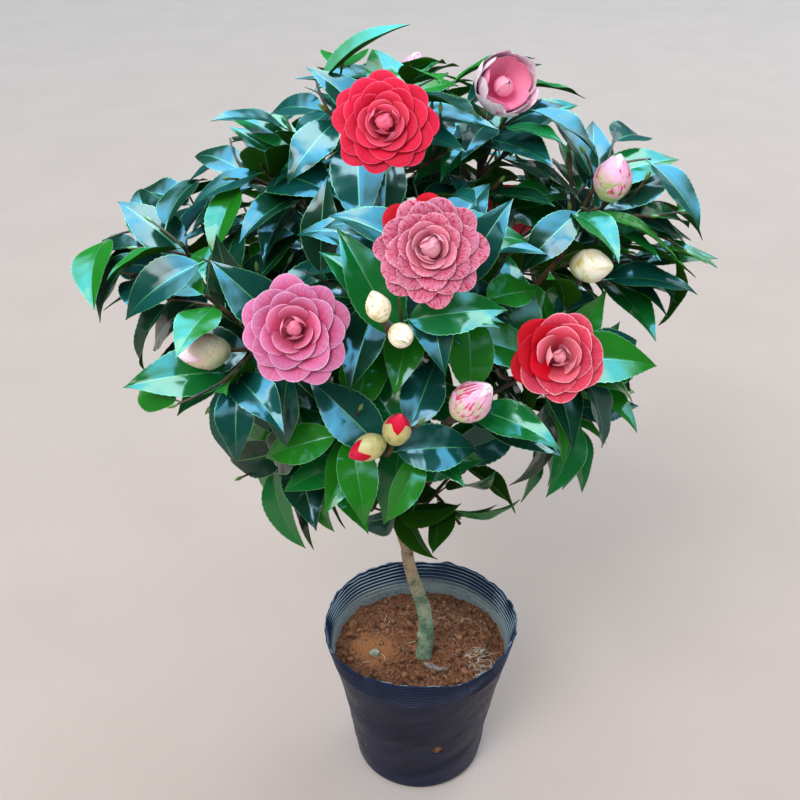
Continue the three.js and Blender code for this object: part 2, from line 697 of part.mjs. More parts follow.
function potSolid() {
  const outside = [0, 3, 7, 75, 130, 160, POT_HEIGHT].map((h) => potRing(h, 0));
  const inside = [POT_HEIGHT, 160, 130, 75, 7].map((h) => potRing(h, POT_WALL));
  const floor = potRing(3, POT_WALL).map((p) => v(p.x, p.y, POT_WALL));
  let pot = skin([...outside, ...inside, floor], v(0, 0, 0), v(0, 0, POT_WALL));
  for (let k = 0; k < DRAIN_HOLES; k++) {
    const turn = radians(FIRST_DRAIN_HOLE_TURN) + (2 * Math.PI * k) / DRAIN_HOLES;
    pot = pot.subtract(drainHole(turn));
  }
  return pot;
}

function drainHole(turn) {
  const out = v(Math.cos(turn), Math.sin(turn), 0);
  const middle = v(0, 0, DRAIN_HOLE_HEIGHT);
  const ends = [POT_BASE_RADIUS, POT_RIM_RADIUS].map((r) => ({
    at: along(middle, out, r),
    runs: out,
    radius: DRAIN_HOLE_RADIUS,
  }));
  return limbSolid(ends, 10);
}

// The soil fills the pot to below its rim. Its top is uneven, and level where the trunk stands.
function soilSolid() {
  const sides = [7, 75, 130].map((h) => potRing(h, POT_WALL + GAP));
  const top = [0.995, 0.72, 0.4].map((share, k) =>
    potRing(SOIL_LEVEL, POT_WALL + GAP).map((p, i) => {
      const heave = share < 0.5 ? 0 : 1.6 * Math.sin(2.3 * i + 1.7 * k) - 0.8;
      return v(p.x * share, p.y * share, SOIL_LEVEL + heave);
    }),
  );
  const foot = potRing(3, POT_WALL + GAP).map((p) => v(p.x, p.y, POT_WALL + GAP));
  return skin([foot, ...sides, ...top], v(0, 0, POT_WALL + GAP), v(0, 0, SOIL_LEVEL));
}

// A bough is cut clear of the limbs that were there before it.
function boughSolid(stations, earlier) {
  let solid = limbSolid(stations, 5);
  for (const [limb, sides] of earlier) solid = solid.subtract(limbSolid(limb, sides, GAP));
  return largest(solid);
}

function meshOf(solid, name, material) {
  const { numProp, numVert, vertProperties, triVerts } = solid.getMesh();
  const positions = new Float32Array(numVert * 3);
  for (let i = 0; i < numVert; i++)
    positions.set(vertProperties.subarray(i * numProp, i * numProp + 3), 3 * i);
  const geometry = new THREE.BufferGeometry()
    .setAttribute("position", new THREE.BufferAttribute(positions, 3))
    .setIndex(new THREE.BufferAttribute(new Uint32Array(triVerts), 1));
  geometry.computeVertexNormals();
  const mesh = new THREE.Mesh(geometry, material);
  mesh.name = name;
  return mesh;
}

const plain = (color, roughness) => new THREE.MeshStandardMaterial({ color, roughness, metalness: 0 });
const POT_PLASTIC = plain(0x1b2233, 0.38);
const SOIL = plain(0x6e3f28, 0.95);
const TRUNK_BARK = plain(0x8a8a68, 0.85);
const BOUGH_BARK = plain(0x6f5640, 0.8);
const FOLIAGE = plain(0x1c5230, 0.3);

const { trunk, boughs, grown } = grow();
const camellia = new THREE.Group();
camellia.name = "potted_camellia";
camellia.add(meshOf(potSolid(), "nursery_pot", POT_PLASTIC));
camellia.add(meshOf(soilSolid(), "soil", SOIL));
camellia.add(meshOf(limbSolid(trunk, 8), "trunk", TRUNK_BARK));
const earlier = [[trunk, 8]];
for (const { name } of MASSES) {
  camellia.add(meshOf(boughSolid(boughs.get(name), earlier), `bough_${name}`, BOUGH_BARK));
  earlier.push([boughs.get(name), 5]);
}
for (const plant of grown) camellia.add(meshOf(massSolid(plant), `foliage_${plant.mass.name}`, FOLIAGE));

export default camellia;
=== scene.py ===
# %% [markdown]
# # A potted camellia
# A camellia is an evergreen shrub with leathery, glossy leaves and double blooms. This one stands
# in a soft plastic nursery pot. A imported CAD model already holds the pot, the soil, the wood and
# one plain solid for each mass of foliage, all at their real places. This lesson makes the looks:
# it writes the plant's growing rule again, carries it on to finer twigs, and makes leaves, petals,
# bark, plastic and soil. The rule counts in millimetres, and each mesh is scaled to metres.

# %% Load the frame
import itertools
import math
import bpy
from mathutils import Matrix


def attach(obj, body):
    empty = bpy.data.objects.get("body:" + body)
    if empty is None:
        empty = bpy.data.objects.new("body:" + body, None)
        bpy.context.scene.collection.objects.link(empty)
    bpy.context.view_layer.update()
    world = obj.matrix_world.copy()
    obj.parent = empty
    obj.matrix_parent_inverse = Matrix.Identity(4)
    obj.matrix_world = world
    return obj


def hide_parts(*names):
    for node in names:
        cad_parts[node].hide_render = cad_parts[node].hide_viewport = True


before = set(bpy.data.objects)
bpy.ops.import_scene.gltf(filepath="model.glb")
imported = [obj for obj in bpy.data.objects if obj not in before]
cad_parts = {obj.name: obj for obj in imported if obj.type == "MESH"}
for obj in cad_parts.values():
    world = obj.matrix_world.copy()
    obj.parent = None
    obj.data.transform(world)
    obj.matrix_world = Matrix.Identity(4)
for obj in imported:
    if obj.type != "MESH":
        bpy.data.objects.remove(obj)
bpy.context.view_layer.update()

from types import SimpleNamespace

import bpy
import numpy as np
from mathutils.kdtree import KDTree

MM = 0.001

# %% [markdown]
# ## The camera
# The photograph looks down on the plant, so the pot's mouth is an ellipse and its sides narrow
# downwards. The lens, height and pitch are those that bring the pot's rim and base to the size
# and place that they have in the picture.

# %% Camera
CAMERA_AT = (-0.0211, -0.874, 0.979)
CAMERA_PITCH = 31.06  # degrees below level
CAMERA_LENS, SENSOR_WIDTH = 49.5, 36  # mm


def put(name, data, at=(0, 0, 0), turned=(0, 0, 0)):
    """An object in the scene that shows this data."""
    thing = bpy.data.objects.new(name, data)
    thing.location, thing.rotation_euler = at, turned
    bpy.context.scene.collection.objects.link(thing)
    return thing


camera_data = bpy.data.cameras.new("camera")
camera_data.lens, camera_data.sensor_width = CAMERA_LENS, SENSOR_WIDTH
camera = put("camera", camera_data, CAMERA_AT, (math.radians(90 - CAMERA_PITCH), 0, 0))
bpy.context.scene.camera = camera
print("camera", CAMERA_LENS, "mm, pitched", CAMERA_PITCH, "degrees")

# %% [markdown]
# ## Vectors and seeded numbers
# A plant repeats itself with small differences. Each one is drawn here from seeded numbers, so
# the shrub grows the same way each time. Their generator mixes whole numbers and gives the same
# ones in any language, so the CAD model and this lesson agree on every twig.

# %% Vectors and seeded numbers
UP = np.array((0.0, 0.0, 1.0))
GOLDEN_ANGLE = math.pi * (3 - math.sqrt(5))  # turn from one leaf or twig to the next
WHOLE = 0xFFFFFFFF  # whole numbers are kept to 32 bits


def v(x, y, z):
    return np.array((x, y, z), float)


def lerp(a, b, t):
    return (1 - t) * a + t * b


def clamp(x):
    return max(0, min(1, x))


def span_of(a):
    return math.sqrt(a @ a)


def unit(a):
    return a / span_of(a)


def square_to(n, a):
    """The part of a that stands square to the unit vector n, made a unit vector."""
    return unit(a - n * (a @ n))


def sides_of(n):
    """Two unit vectors square to n and to each other."""
    first = square_to(n, UP if abs(n[2]) < 0.9 else v(1, 0, 0))
    return first, np.cross(n, first)


def seeded(seed):
    """Seeded numbers from 0 to 1, the same ones each time."""
    state = seed & WHOLE

    def draw():
        nonlocal state
        state = (state + 0x6D2B79F5) & WHOLE
        t = ((state ^ (state >> 15)) * (state | 1)) & WHOLE
        t ^= (t + (((t ^ (t >> 7)) * (t | 61)) & WHOLE)) & WHOLE
        return ((t ^ (t >> 14)) & WHOLE) / (WHOLE + 1)

    return draw


print("first number of seed 1:", round(seeded(1)(), 4))

# %% [markdown]
# ## Lumps
# Bark, soil and soft plastic are uneven at several sizes at once. A value on each corner of a
# cubic lattice, blended smoothly between corners, gives lumps of one size, and several sizes
# added together look natural. They move real points, so the shape is in the mesh.


# %% Lumps
def lattice_value(x, y, z, seed):
    h = (x * 374761393 + y * 668265263 + z * 974634777 + seed * 127412617) & WHOLE
    h = ((h ^ (h >> 13)) * 1274126177) & WHOLE
    return (h ^ (h >> 16)) / 2147483648.0 - 1.0


def lumps(points, size, seed=0):
    """Smooth lumps about size across at these points, from -1 to 1."""
    place_in = np.asarray(points, float) / size
    corner = np.floor(place_in).astype(np.int64)
    part = place_in - corner
    part = part * part * (3 - 2 * part)
    total = np.zeros(place_in.shape[:-1])
    for step in itertools.product((0, 1), repeat=3):
        weight = np.prod(np.where(step, part, 1 - part), axis=-1)
        total += weight * lattice_value(*np.moveaxis(corner + step, -1, 0), seed)
    return total


def rough_lumps(points, size, layers, seed=0):
    """Lumps of several sizes, each half as large and half as high as the last."""
    return sum(0.5**n * lumps(points, size * 0.5**n, seed + n) for n in range(layers))


print("lumps at two points:", lumps([(5, 1, 2), (9, 9, 9)], 4).round(3))

# %% [markdown]
# ## Meshes from arrays
# A crown has hundreds of leaves, and one mesh that holds them all draws far faster than hundreds
# of objects. A Patchwork gathers points, faces, each face's finish and any value that is kept at
# each point, and makes one mesh of them. Limbs, pot and soil are stacks of rings of points.


# %% Meshes from arrays
class Patchwork:
    """Many small sheets and tubes that become one mesh."""

    def __init__(self):
        self.points, self.faces, self.looks, self.values, self.count = [], [], [], {}, 0

    def add(self, points, faces, look=0, **values):
        """points are in millimetres, and faces are lists of point numbers."""
        points = np.asarray(points, float).reshape(-1, 3)
        self.points.append(points)
        self.faces += [tuple(int(i) + self.count for i in face) for face in faces]
        self.looks += [look] * len(faces) if isinstance(look, int) else list(look)
        for name, value in values.items():
            self.values.setdefault(name, []).append(np.broadcast_to(value, (len(points),)))
        self.count += len(points)

    def mesh(self, name):
        mesh = bpy.data.meshes.new(name)
        mesh.from_pydata(np.concatenate(self.points) * MM, [], self.faces)
        return mesh

    def make(self, name, finishes, slot, sharp=None):
        mesh = self.mesh(name)
        for finish in finishes:
            mesh.materials.append(finish)
        mesh.polygons.foreach_set("material_index", self.looks)
        mesh.shade_smooth()
        if sharp:
            mesh.set_sharp_from_angle(angle=math.radians(sharp))
        for key, value in self.values.items():
            keep_value(mesh, key, np.concatenate(value))
        return place(mesh, name)


def keep_value(mesh, key, value):
    """Keeps a number at each point of a mesh, for its finish to read."""
    kept = mesh.attributes.new(key, "FLOAT", "POINT")
    kept.data.foreach_set("value", value.astype(np.float32))


def place(mesh, name):
    """Puts a mesh in the scene as a piece that rides on the plant's one body."""
    mesh.validate()
    piece = put(name, mesh)
    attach(piece, "root")
    return piece


def grid_faces(numbers):
    """Four-sided faces over a grid of point numbers."""
    a, b = numbers[:-1, :-1], numbers[:-1, 1:]
    c, d = numbers[1:, 1:], numbers[1:, :-1]
    return np.stack([a, b, c, d], axis=-1).reshape(-1, 4).tolist()


def ring_faces(rings, sides):
    """Faces round a stack of rings of points, with both its ends closed."""
    numbers = np.arange(rings * sides).reshape(rings, sides)
    round_about = grid_faces(np.concatenate([numbers, numbers[:, :1]], axis=1))
    return round_about + [numbers[0][::-1].tolist(), numbers[-1].tolist()]


def turns_of(sides):
    return 2 * np.pi * np.arange(sides) / sides


def ring_round(at, side, other, radius, sides):
    turns = turns_of(sides)
    return at + radius * (np.cos(turns)[:, None] * side + np.sin(turns)[:, None] * other)


def on_circle(radius, turn, level):
    """Points round the upright axis."""
    return np.stack([radius * np.cos(turn), radius * np.sin(turn), level + 0 * turn], axis=-1)


def normals_of(grid):
    """The unit normal at each point of a grid of points."""
    across = np.cross(np.gradient(grid, axis=1), np.gradient(grid, axis=0))
    return across / np.maximum(np.linalg.norm(across, axis=-1, keepdims=True), 1e-9)


def two_sided(grid, thickness):
    """A thin closed sheet, whose two sides share their margin: its points, upper faces and
    under faces."""
    rows, columns = grid.shape[:2]
    upper = np.arange(rows * columns).reshape(rows, columns)
    under = upper.copy()
    inner = (rows - 2) * (columns - 2)
    under[1:-1, 1:-1] = rows * columns + np.arange(inner).reshape(rows - 2, columns - 2)
    lowered = (grid - thickness * normals_of(grid))[1:-1, 1:-1].reshape(-1, 3)
    points = np.concatenate([grid.reshape(-1, 3), lowered])
    return points, grid_faces(upper), [face[::-1] for face in grid_faces(under)]


print("a closed tube of 3 rings of 5 points has", len(ring_faces(3, 5)), "faces")

# %% [markdown]
# ## Finishes from nodes
# A finish is a network of nodes that ends in the Principled shader. Written as Python sums it
# stays readable: a Wire stands for one socket, and arithmetic on Wires adds the Math nodes.
# Every other node comes from one method, which takes its type, what goes into its sockets and
# its settings. Numbers that are the same everywhere stay on the shader itself.


# %% Wires and finishes
class Wire:
    """One socket of a finish's nodes. Arithmetic on it adds Math nodes."""

    def __init__(self, tree, socket=None):
        self.tree, self.socket = tree, socket

    def node(self, kind, inputs=None, out=0, **settings):
        made = self.tree.nodes.new("ShaderNode" + kind)
        for name, value in settings.items():
            setattr(made, name, value)
        for name, value in (inputs or {}).items():
            if isinstance(value, Wire):
                self.tree.links.new(value.socket, made.inputs[name])
            else:
                made.inputs[name].default_value = value
        return Wire(self.tree, made.outputs[out])

    def math(self, operation, *values):
        return self.node("Math", dict(enumerate(values)), operation=operation)

    def __add__(self, other):
        return self.math("ADD", self, other)

    def __sub__(self, other):
        return self.math("SUBTRACT", self, other)

    def __rsub__(self, other):
        return self.math("SUBTRACT", other, self)

    def __mul__(self, other):
        return self.math("MULTIPLY", self, other)

    __radd__ = __add__
    __rmul__ = __mul__

    def between(self, low, high):
        """0 where this is low or less, 1 where it is high or more, and smooth between."""
        limits = {"Value": self, "From Min": low, "From Max": high}
        return self.node("MapRange", limits, interpolation_type="SMOOTHSTEP")

    def blend(self, first, second):
        """The first colour where this is 0 and the second where it is 1."""
        first, second = (c if isinstance(c, Wire) else (*c, 1) for c in (first, second))
        return self.node("Mix", {0: self, 6: first, 7: second}, out=2, data_type="RGBA")

    def where(self):
        """The place of a point in metres."""
        return self.node("TexCoord", out=3)

    def stretched(self, factors):
        return self.node("VectorMath", {0: self.where(), 1: factors}, operation="MULTIPLY")

    def height(self):
        return self.node("SeparateXYZ", {0: self.where()}, out=2)

    def kept(self, name):
        """A value that the mesh keeps at each point."""
        return self.node("Attribute", out=2, attribute_name=name)

    def grain(self, scale, detail, at=None, roughness=0.5):
        """Soft noise from 0 to 1, in lumps of about 1 / scale metres."""
        return self.node("TexNoise", {"Vector": at or self.where(), "Scale": scale,
                                      "Detail": detail, "Roughness": roughness})

    def streaks(self, across, along, apart, detail, roughness=0.5):
        """Noise over a petal, this many lumps across and along it, and unlike the next petal's."""
        place_on = self.node("CombineXYZ", {0: self.kept("aside") * across,
                                            1: self.kept("along") * along,
                                            2: self.kept("tone") * apart})
        return self.grain(1.0, detail, place_on, roughness)

    def bump(self, height, strength, distance):
        return self.node("Bump", {"Height": height, "Strength": strength, "Distance": distance})


def finish(name, build, **constants):
    """A material. build(wire) gives the sockets that change over the surface, and constants
    are set on the shader's own sockets, with _ for a space."""
    material = bpy.data.materials.new(name)
    material.use_nodes = True
    shader = material.node_tree.nodes["Principled BSDF"]
    for key, value in constants.items():
        value = (*value, 1) if isinstance(value, tuple) else value
        shader.inputs[key.replace("_", " ")].default_value = value
    for key, wire in build(Wire(material.node_tree)).items():
        material.node_tree.links.new(wire.socket, shader.inputs[key])
    material.diffuse_color = shader.inputs["Base Color"].default_value
    return material


def mottled(name, noise, first, second, relief=None, **constants):
    """A finish of two colours. noise is a scale, a detail, and where it is all the first colour
    and all the second. relief is a bump's scale, detail, strength and distance."""
    def build(wire):
        scale, detail, low, high = noise
        sockets = {"Base Color": wire.grain(scale, detail).between(low, high).blend(first, second)}
        if relief:
            sockets["Normal"] = wire.bump(wire.grain(*relief[:2]), *relief[2:])
        return sockets

    return finish(name, build, **constants)


print("finishes can be made")

# %% [markdown]
# ## The plant's measures
# These repeat the CAD model's driving sizes. The trunk bends twice and forks. Each mass of
# foliage has a bough that bears it, a centre, a reach and the seed of its own numbers, and no
# leaf of it goes beyond that reach.

# %% Measures of the plant
GAP = 0.3
SOIL_LEVEL = 147
TRUNK_PATH = [v(4, -14, SOIL_LEVEL + GAP), v(15, -11, 205), v(-11, -6, 232), v(-14, -5, 280)]
TRUNK_FOOT_RADIUS, TRUNK_FORK_RADIUS = 8, 6
ROOT_FLARE, ROOT_FLARE_SHARE = 1.12, 0.08
MAIN_BOUGH_RADIUS, SIDE_BOUGH_RADIUS, BOUGH_TIP_RADIUS = 4.8, 3.2, 2.3
STEM_RADIUS, TWIG_RADIUS, TWIG_TIP_RADIUS = 2.2, 1.9, 1.5
BOUGH_ENTRY, TWIG_REACH = 0.55, 0.55
TWIG_LEAN = (18, 105)
LEAF_LENGTH, LEAF_LENGTH_SPREAD, LEAF_WIDTH_SHARE = 84, 13, 0.53
LEAF_ARCH, LEAF_FOLD, LEAF_TWIST = (12, 52), (5, 21), 12
PETIOLE, LEAVES_ON_A_TWIG = 6, 9
INTERNODE, INTERNODE_GROWTH = 8.5, 0.06
BARE_TIP, BARE_NECK = 4, 8  # how far no leaf stands from a twig's tip, and from a flower
LEAFY_SHARE = 0.85  # of a twig's length
LEAF_SPREAD, LEAF_SPREAD_STEP = 45, 6
HANGING = (560, 360)
CLEARANCES = (5.2, 5)  # of a leaf from other leaves and from limbs
TWIG_CLEARANCE, TWIG_SAMPLES, TRIES = 1.5, 8, 30
FREE_OF_OWN_TWIG, FREE_OF_KIN = 0.25, 0.12
FLOWER_ROOM, BLOOM_NECK, BLOOM_ROOM = 4, 14, (20, 70)
BUD_NECK_SHARE, BUD_ROOM = 0.4, 40
CROWN_MIDDLE = v(-35, 0, 520)


def mass(name, on, share, centre, reach, tall, twigs, seed, bears=LEAVES_ON_A_TWIG):
    return SimpleNamespace(name=name, on=on, share=share, centre=v(*centre), reach=reach,
                           tall=tall, twigs=twigs, seed=seed, bears=bears)


MASSES = [
    mass("top_left", "trunk", 0.99, (-33, -45, 712), 100, 0.9, 3, 230),
    mass("far_left", "trunk", 0.97, (-199, -20, 602), 100, 0.7, 4, 110),
    mass("upper_right", "trunk", 0.95, (128, -30, 654), 100, 0.8, 4, 301),
    mass("back_top", "trunk", 0.98, (-23, 95, 661), 112, 0.85, 4, 395),
    mass("low_front", "trunk", 0.92, (-41, -115, 502), 106, 0.72, 3, 62),
    mass("trunk_shoots", "trunk", 0.88, (3, -28, 377), 95, 0.75, 3, 3059, 4),
    mass("top_right", "top_left", 0.62, (48, 10, 676), 106, 0.86, 4, 291),
    mass("centre_front", "top_left", 0.5, (-13, -112, 627), 106, 1, 4, 17),
    mass("upper_left", "far_left", 0.5, (-99, -15, 660), 108, 0.82, 4, 50),
    mass("left_front", "far_left", 0.6, (-135, -106, 574), 110, 0.9, 4, 81),
    mass("low_left", "far_left", 0.25, (-85, -45, 439), 108, 0.95, 5, 298),
    mass("right", "upper_right", 0.55, (150, -18, 605), 104, 0.7, 4, 58),
    mass("right_front", "upper_right", 0.4, (88, -105, 555), 102, 0.85, 4, 3),
    mass("low_right", "upper_right", 0.2, (90, -38, 473), 108, 0.8, 5, 209),
    mass("back_left", "back_top", 0.5, (-116, 90, 568), 116, 0.85, 4, 183),
    mass("back_right", "back_top", 0.45, (88, 98, 569), 116, 0.85, 4, 159),
    mass("back_low", "back_top", 0.22, (-45, 88, 461), 114, 0.85, 4, 33),
]


def bloom(on, at, faces, radius, form, kind):
    return SimpleNamespace(mass=on, at=v(*at), faces=unit(v(*faces)), radius=radius, form=form,
                           kind=kind, neck=BLOOM_NECK, behind=BLOOM_ROOM[0], before=BLOOM_ROOM[1])


def bud(on, at, faces, radius, length, kind):
    return SimpleNamespace(mass=on, at=v(*at), faces=unit(v(*faces)), radius=radius,
                           length=length, kind=kind, neck=BUD_NECK_SHARE * length,
                           behind=length / 2, before=BUD_ROOM)


BLOOMS = [
    bloom("top_left", (-32, -112, 747), (-0.05, -0.87, 0.48), 38, "open", "red"),
    bloom("centre_front", (-1, -200, 690), (0.02, -0.86, 0.5), 39, "open", "speckled"),
    bloom("left_front", (-96, -180, 619), (-0.08, -0.84, 0.54), 39, "open", "rose"),
    bloom("right_front", (96, -162, 588), (0.06, -0.86, 0.5), 37, "open", "bicolour"),
    bloom("top_right", (58, -34, 752), (0.3, -0.83, 0.47), 24, "cup", "blush"),
    bloom("back_left", (-128, 176, 566), (-0.35, 0.84, 0.4), 38, "open", "rose"),
    bloom("back_right", (98, 180, 572), (0.3, 0.86, 0.4), 37, "open", "red"),
]
BUDS = [
    bud("upper_right", (143, -62, 690), (0.2, 0.05, 0.98), 15, 37, "pink"),
    bud("right", (128, -92, 629), (0.75, -0.62, 0.25), 13.5, 36, "cream"),
    bud("left_front", (-169, -150, 585), (-0.85, -0.5, 0.2), 14, 41, "green_pink"),
    bud("right_front", (32, -190, 567), (0.62, -0.15, 0.7), 15, 38, "pink"),
    bud("centre_front", (-36, -218, 657), (-0.3, -0.05, 0.95), 8.5, 23, "cream"),
    bud("centre_front", (-20, -222, 636), (0.35, -0.75, 0.0), 8.5, 22, "cream"),
    bud("low_front", (-23, -190, 543), (0.2, -0.15, 0.97), 11, 28, "green_red"),
    bud("low_front", (-46, -195, 528), (-0.85, -0.5, -0.15), 10.5, 30, "green_red"),
    bud("back_top", (-8, 170, 712), (0.2, 0.6, 0.75), 14, 36, "pink"),
    bud("back_low", (-40, 168, 500), (-0.3, 0.85, 0.3), 11, 29, "cream"),
]
print(len(MASSES), "masses,", len(BLOOMS), "blooms and", len(BUDS), "buds")

# %% [markdown]
# ## Limbs
# Wood grows in long curves. Each limb is a cubic curve that is drawn towards one or two bends,
# and its stations say where it is, which way it runs and how thick it is. A bough leaves its
# bearer part of the way between the bearer's own direction and the mass it is going to.


# %% Limbs
def station(at, runs, radius):
    return SimpleNamespace(at=at, runs=runs, radius=radius)


def curved_limb(path, start_radius, end_radius, steps, flare=False):
    start, lower, upper, end = path
    stations = []
    for i in range(steps + 1):
        t = i / steps
        s = 1 - t
        at = start * s**3 + lower * (3 * s * s * t) + upper * (3 * s * t * t) + end * t**3
        runs = (lower - start) * s * s + (upper - lower) * (2 * s * t) + (end - upper) * t * t
        radius = lerp(start_radius, end_radius, t)
        if flare:
            radius *= 1 + (ROOT_FLARE - 1) * math.exp(-t / ROOT_FLARE_SHARE)
        stations.append(station(at, unit(runs), radius))
    if flare:
        stations[0].runs = UP.copy()
    return stations


def limb(path, start_radius, end_radius, steps, flare=False):
    """A limb with the growing rule's coarse stations, and what it takes to draw it finely."""
    shape = (path, start_radius, end_radius)
    return SimpleNamespace(shape=shape, flare=flare, stations=curved_limb(*shape, steps, flare))


def bent_limb(start, bend, end, *radii_and_steps):
    path = [start, lerp(start, bend, 2 / 3), lerp(end, bend, 2 / 3), end]
    return limb(path, *radii_and_steps)


def station_at(stations, share):
    place_on = clamp(share) * (len(stations) - 1)
    i = min(math.floor(place_on), len(stations) - 2)
    a, b, t = stations[i], stations[i + 1], place_on - i
    return station(lerp(a.at, b.at, t), unit(lerp(a.runs, b.runs, t)), lerp(a.radius, b.radius, t))


def length_of(stations):
    return sum(span_of(b.at - a.at) for a, b in zip(stations, stations[1:]))


def grown_limb(start, way, turned, tip, *radii_and_steps):
    """A limb that leaves its bearer between the bearer's direction and its own."""
    bend = start.at + unit(lerp(start.runs, way, turned)) * (0.5 * span_of(start.at - tip))
    return bent_limb(start.at, bend, tip, *radii_and_steps)


def bough_limb(m, bearer):
    start = station_at(bearer, m.share)
    outward = unit(m.centre - start.at)
    tip = m.centre - outward * (BOUGH_ENTRY * m.reach)
    radius = min(MAIN_BOUGH_RADIUS if m.on == "trunk" else SIDE_BOUGH_RADIUS, start.radius * 0.9)
    return grown_limb(start, outward, 0.4, tip, radius, BOUGH_TIP_RADIUS, 5)


def stem_limb(m, bough):
    tip = bough[-1]
    start = tip.at + tip.runs * GAP
    bend = start + tip.runs * (0.4 * span_of(start - m.centre))
    stem = bent_limb(start, bend, m.centre, STEM_RADIUS, TWIG_RADIUS, 2)
    stem.stations[0].runs = tip.runs.copy()
    return stem


def fan(runs, lean, turn):
    """The direction that leans away from runs by lean, turned about it by turn."""
    side, other = sides_of(runs)
    return (runs * math.cos(lean) + side * (math.sin(lean) * math.cos(turn))
            + other * (math.sin(lean) * math.sin(turn)))


def free_twig(m, stem, k, draw):
    """Free twigs fan out from the stem, each a golden turn round from the last."""
    turn = (k + 0.6 * draw()) * GOLDEN_ANGLE
    lean = math.radians(lerp(*TWIG_LEAN, (k + 0.5) / m.twigs))
    way = unit(fan(unit(m.centre - CROWN_MIDDLE), lean, turn) + UP * 0.2)
    start = station_at(stem, 1 - 0.7 * (k / m.twigs))
    tip = m.centre + way * (TWIG_REACH * m.reach * lerp(0.85, 1.1, draw()))
    tip[2] = lerp(m.centre[2], tip[2], m.tall)
    return grown_limb(start, way, 0.8, tip, TWIG_RADIUS, TWIG_TIP_RADIUS, 3)


def flower_twig(stem, back, faces, j):
    """A twig that ends in a bloom or bud comes up behind it."""
    start = station_at(stem, 0.85 - 0.25 * j)
    bend = back - faces * (0.45 * span_of(start.at - back))
    return bent_limb(start.at, bend, back, TWIG_RADIUS, TWIG_TIP_RADIUS + 0.3, 3)


trunk = limb(TRUNK_PATH, TRUNK_FOOT_RADIUS, TRUNK_FORK_RADIUS, 10, flare=True)
boughs = {}
for m in MASSES:
    bearer = trunk if m.on == "trunk" else boughs[m.on]
    boughs[m.name] = bough_limb(m, bearer.stations)
print("trunk", round(length_of(trunk.stations)), "mm long, with", len(boughs), "boughs")

# %% [markdown]
# ## How a leaf lies
# A camellia leaf is an ellipse with a drawn-out tip. It folds a little along its midrib, arches
# down towards its tip and twists. It stands on a short stalk, turned a golden angle from the
# leaf before it, and shows its face up and outwards, while the lowest leaves hang.

# %% How a leaf lies
WIDEST, TIP_TAPER = 0.4, 1.2
FOOT_TAPER = TIP_TAPER * WIDEST / (1 - WIDEST)
WIDTH_AT_WIDEST = WIDEST**FOOT_TAPER * (1 - WIDEST) ** TIP_TAPER


def half_width(t):
    """The shape of a leaf's half-width along its midrib, 1 where it is widest."""
    return t**FOOT_TAPER * (1 - t) ** TIP_TAPER / WIDTH_AT_WIDEST


def leaf_points(leaf, t, u, least=0.0, slimming=0.0):
    """Points of a blade at shares t of its length, by u from its left edge at -1 to its right
    edge at 1, and the way up at each t. No half-width is less than least, and slimming draws
    the tip out narrower."""
    bend, turn = leaf.arch * t[:, None], leaf.twist * t[:, None]
    slim = 1 - slimming * (0.3 + 0.7 * np.clip((t - 0.5) / 0.35, 0, 1))
    half = np.maximum(0.5 * leaf.width * half_width(t) * slim, least)[:, None, None]
    face = leaf.face * np.cos(bend) + leaf.runs * np.sin(bend)
    side = leaf.side * np.cos(turn) + face * np.sin(turn)
    above = face * np.cos(turn) - leaf.side * np.sin(turn)
    midrib = (leaf.foot + leaf.runs * (leaf.length * np.sin(bend) / leaf.arch)
              - leaf.face * (leaf.length * (1 - np.cos(bend)) / leaf.arch))
    aside = side[:, None] * (half * math.cos(leaf.fold)) * u[None, :, None]
    rise = above[:, None] * (half * math.sin(leaf.fold)) * abs(u)[None, :, None]
    return midrib[:, None] + aside + rise, above


def draw_leaf(start, j, k, draw):
    """One way for a leaf to lie, drawn from its own seeded numbers."""
    turn = j * GOLDEN_ANGLE + k + 0.9 * (draw() - 0.5)
    spread = math.radians(LEAF_SPREAD + LEAF_SPREAD_STEP * j + 24 * (draw() - 0.5))
    low = clamp((HANGING[0] - start.at[2]) / (HANGING[0] - HANGING[1]))
    runs = unit(fan(start.runs, spread, turn) - UP * (lerp(0, 0.6, low) + 0.2 * draw()))
    tilt = v(draw() - 0.5, draw() - 0.5, draw() - 0.5)
    wanted = unit(start.at - CROWN_MIDDLE) * lerp(0.6, 0.9, low) + UP * 0.7 + tilt * 0.7
    face = square_to(runs, wanted)
    young = j < 2
    length = (0.86 if young else 1) * (LEAF_LENGTH + LEAF_LENGTH_SPREAD * (2 * draw() - 1))
    return SimpleNamespace(
        root=start.at, foot=start.at + runs * PETIOLE, runs=runs, face=face,
        side=np.cross(runs, face), length=length,
        width=length * LEAF_WIDTH_SHARE * lerp(0.88, 1.12, draw()),
        arch=math.radians(lerp(*LEAF_ARCH, draw())),
        fold=math.radians(lerp(*LEAF_FOLD, draw())),
        twist=math.radians(LEAF_TWIST * (2 * draw() - 1)), young=young, draw=draw)


SAMPLES_ALONG, SAMPLES_ACROSS = 18, 6
SAMPLE_T = np.arange(SAMPLES_ALONG + 1) / SAMPLES_ALONG
SAMPLE_U = 2 * np.arange(SAMPLES_ACROSS + 1) / SAMPLES_ACROSS - 1
SAMPLE_SHARES = np.repeat(SAMPLE_T, SAMPLES_ACROSS + 1)
print("a leaf is widest", WIDEST, "of the way along")

# %% [markdown]
# ## Room to grow
# Leaves of a real crown don't pass through each other, through wood or over an open flower.
# The crown keeps every limb, flower and leaf that has grown, and a new leaf or twig is kept only
# where its sample points are inside its mass's reach and clear of them all.


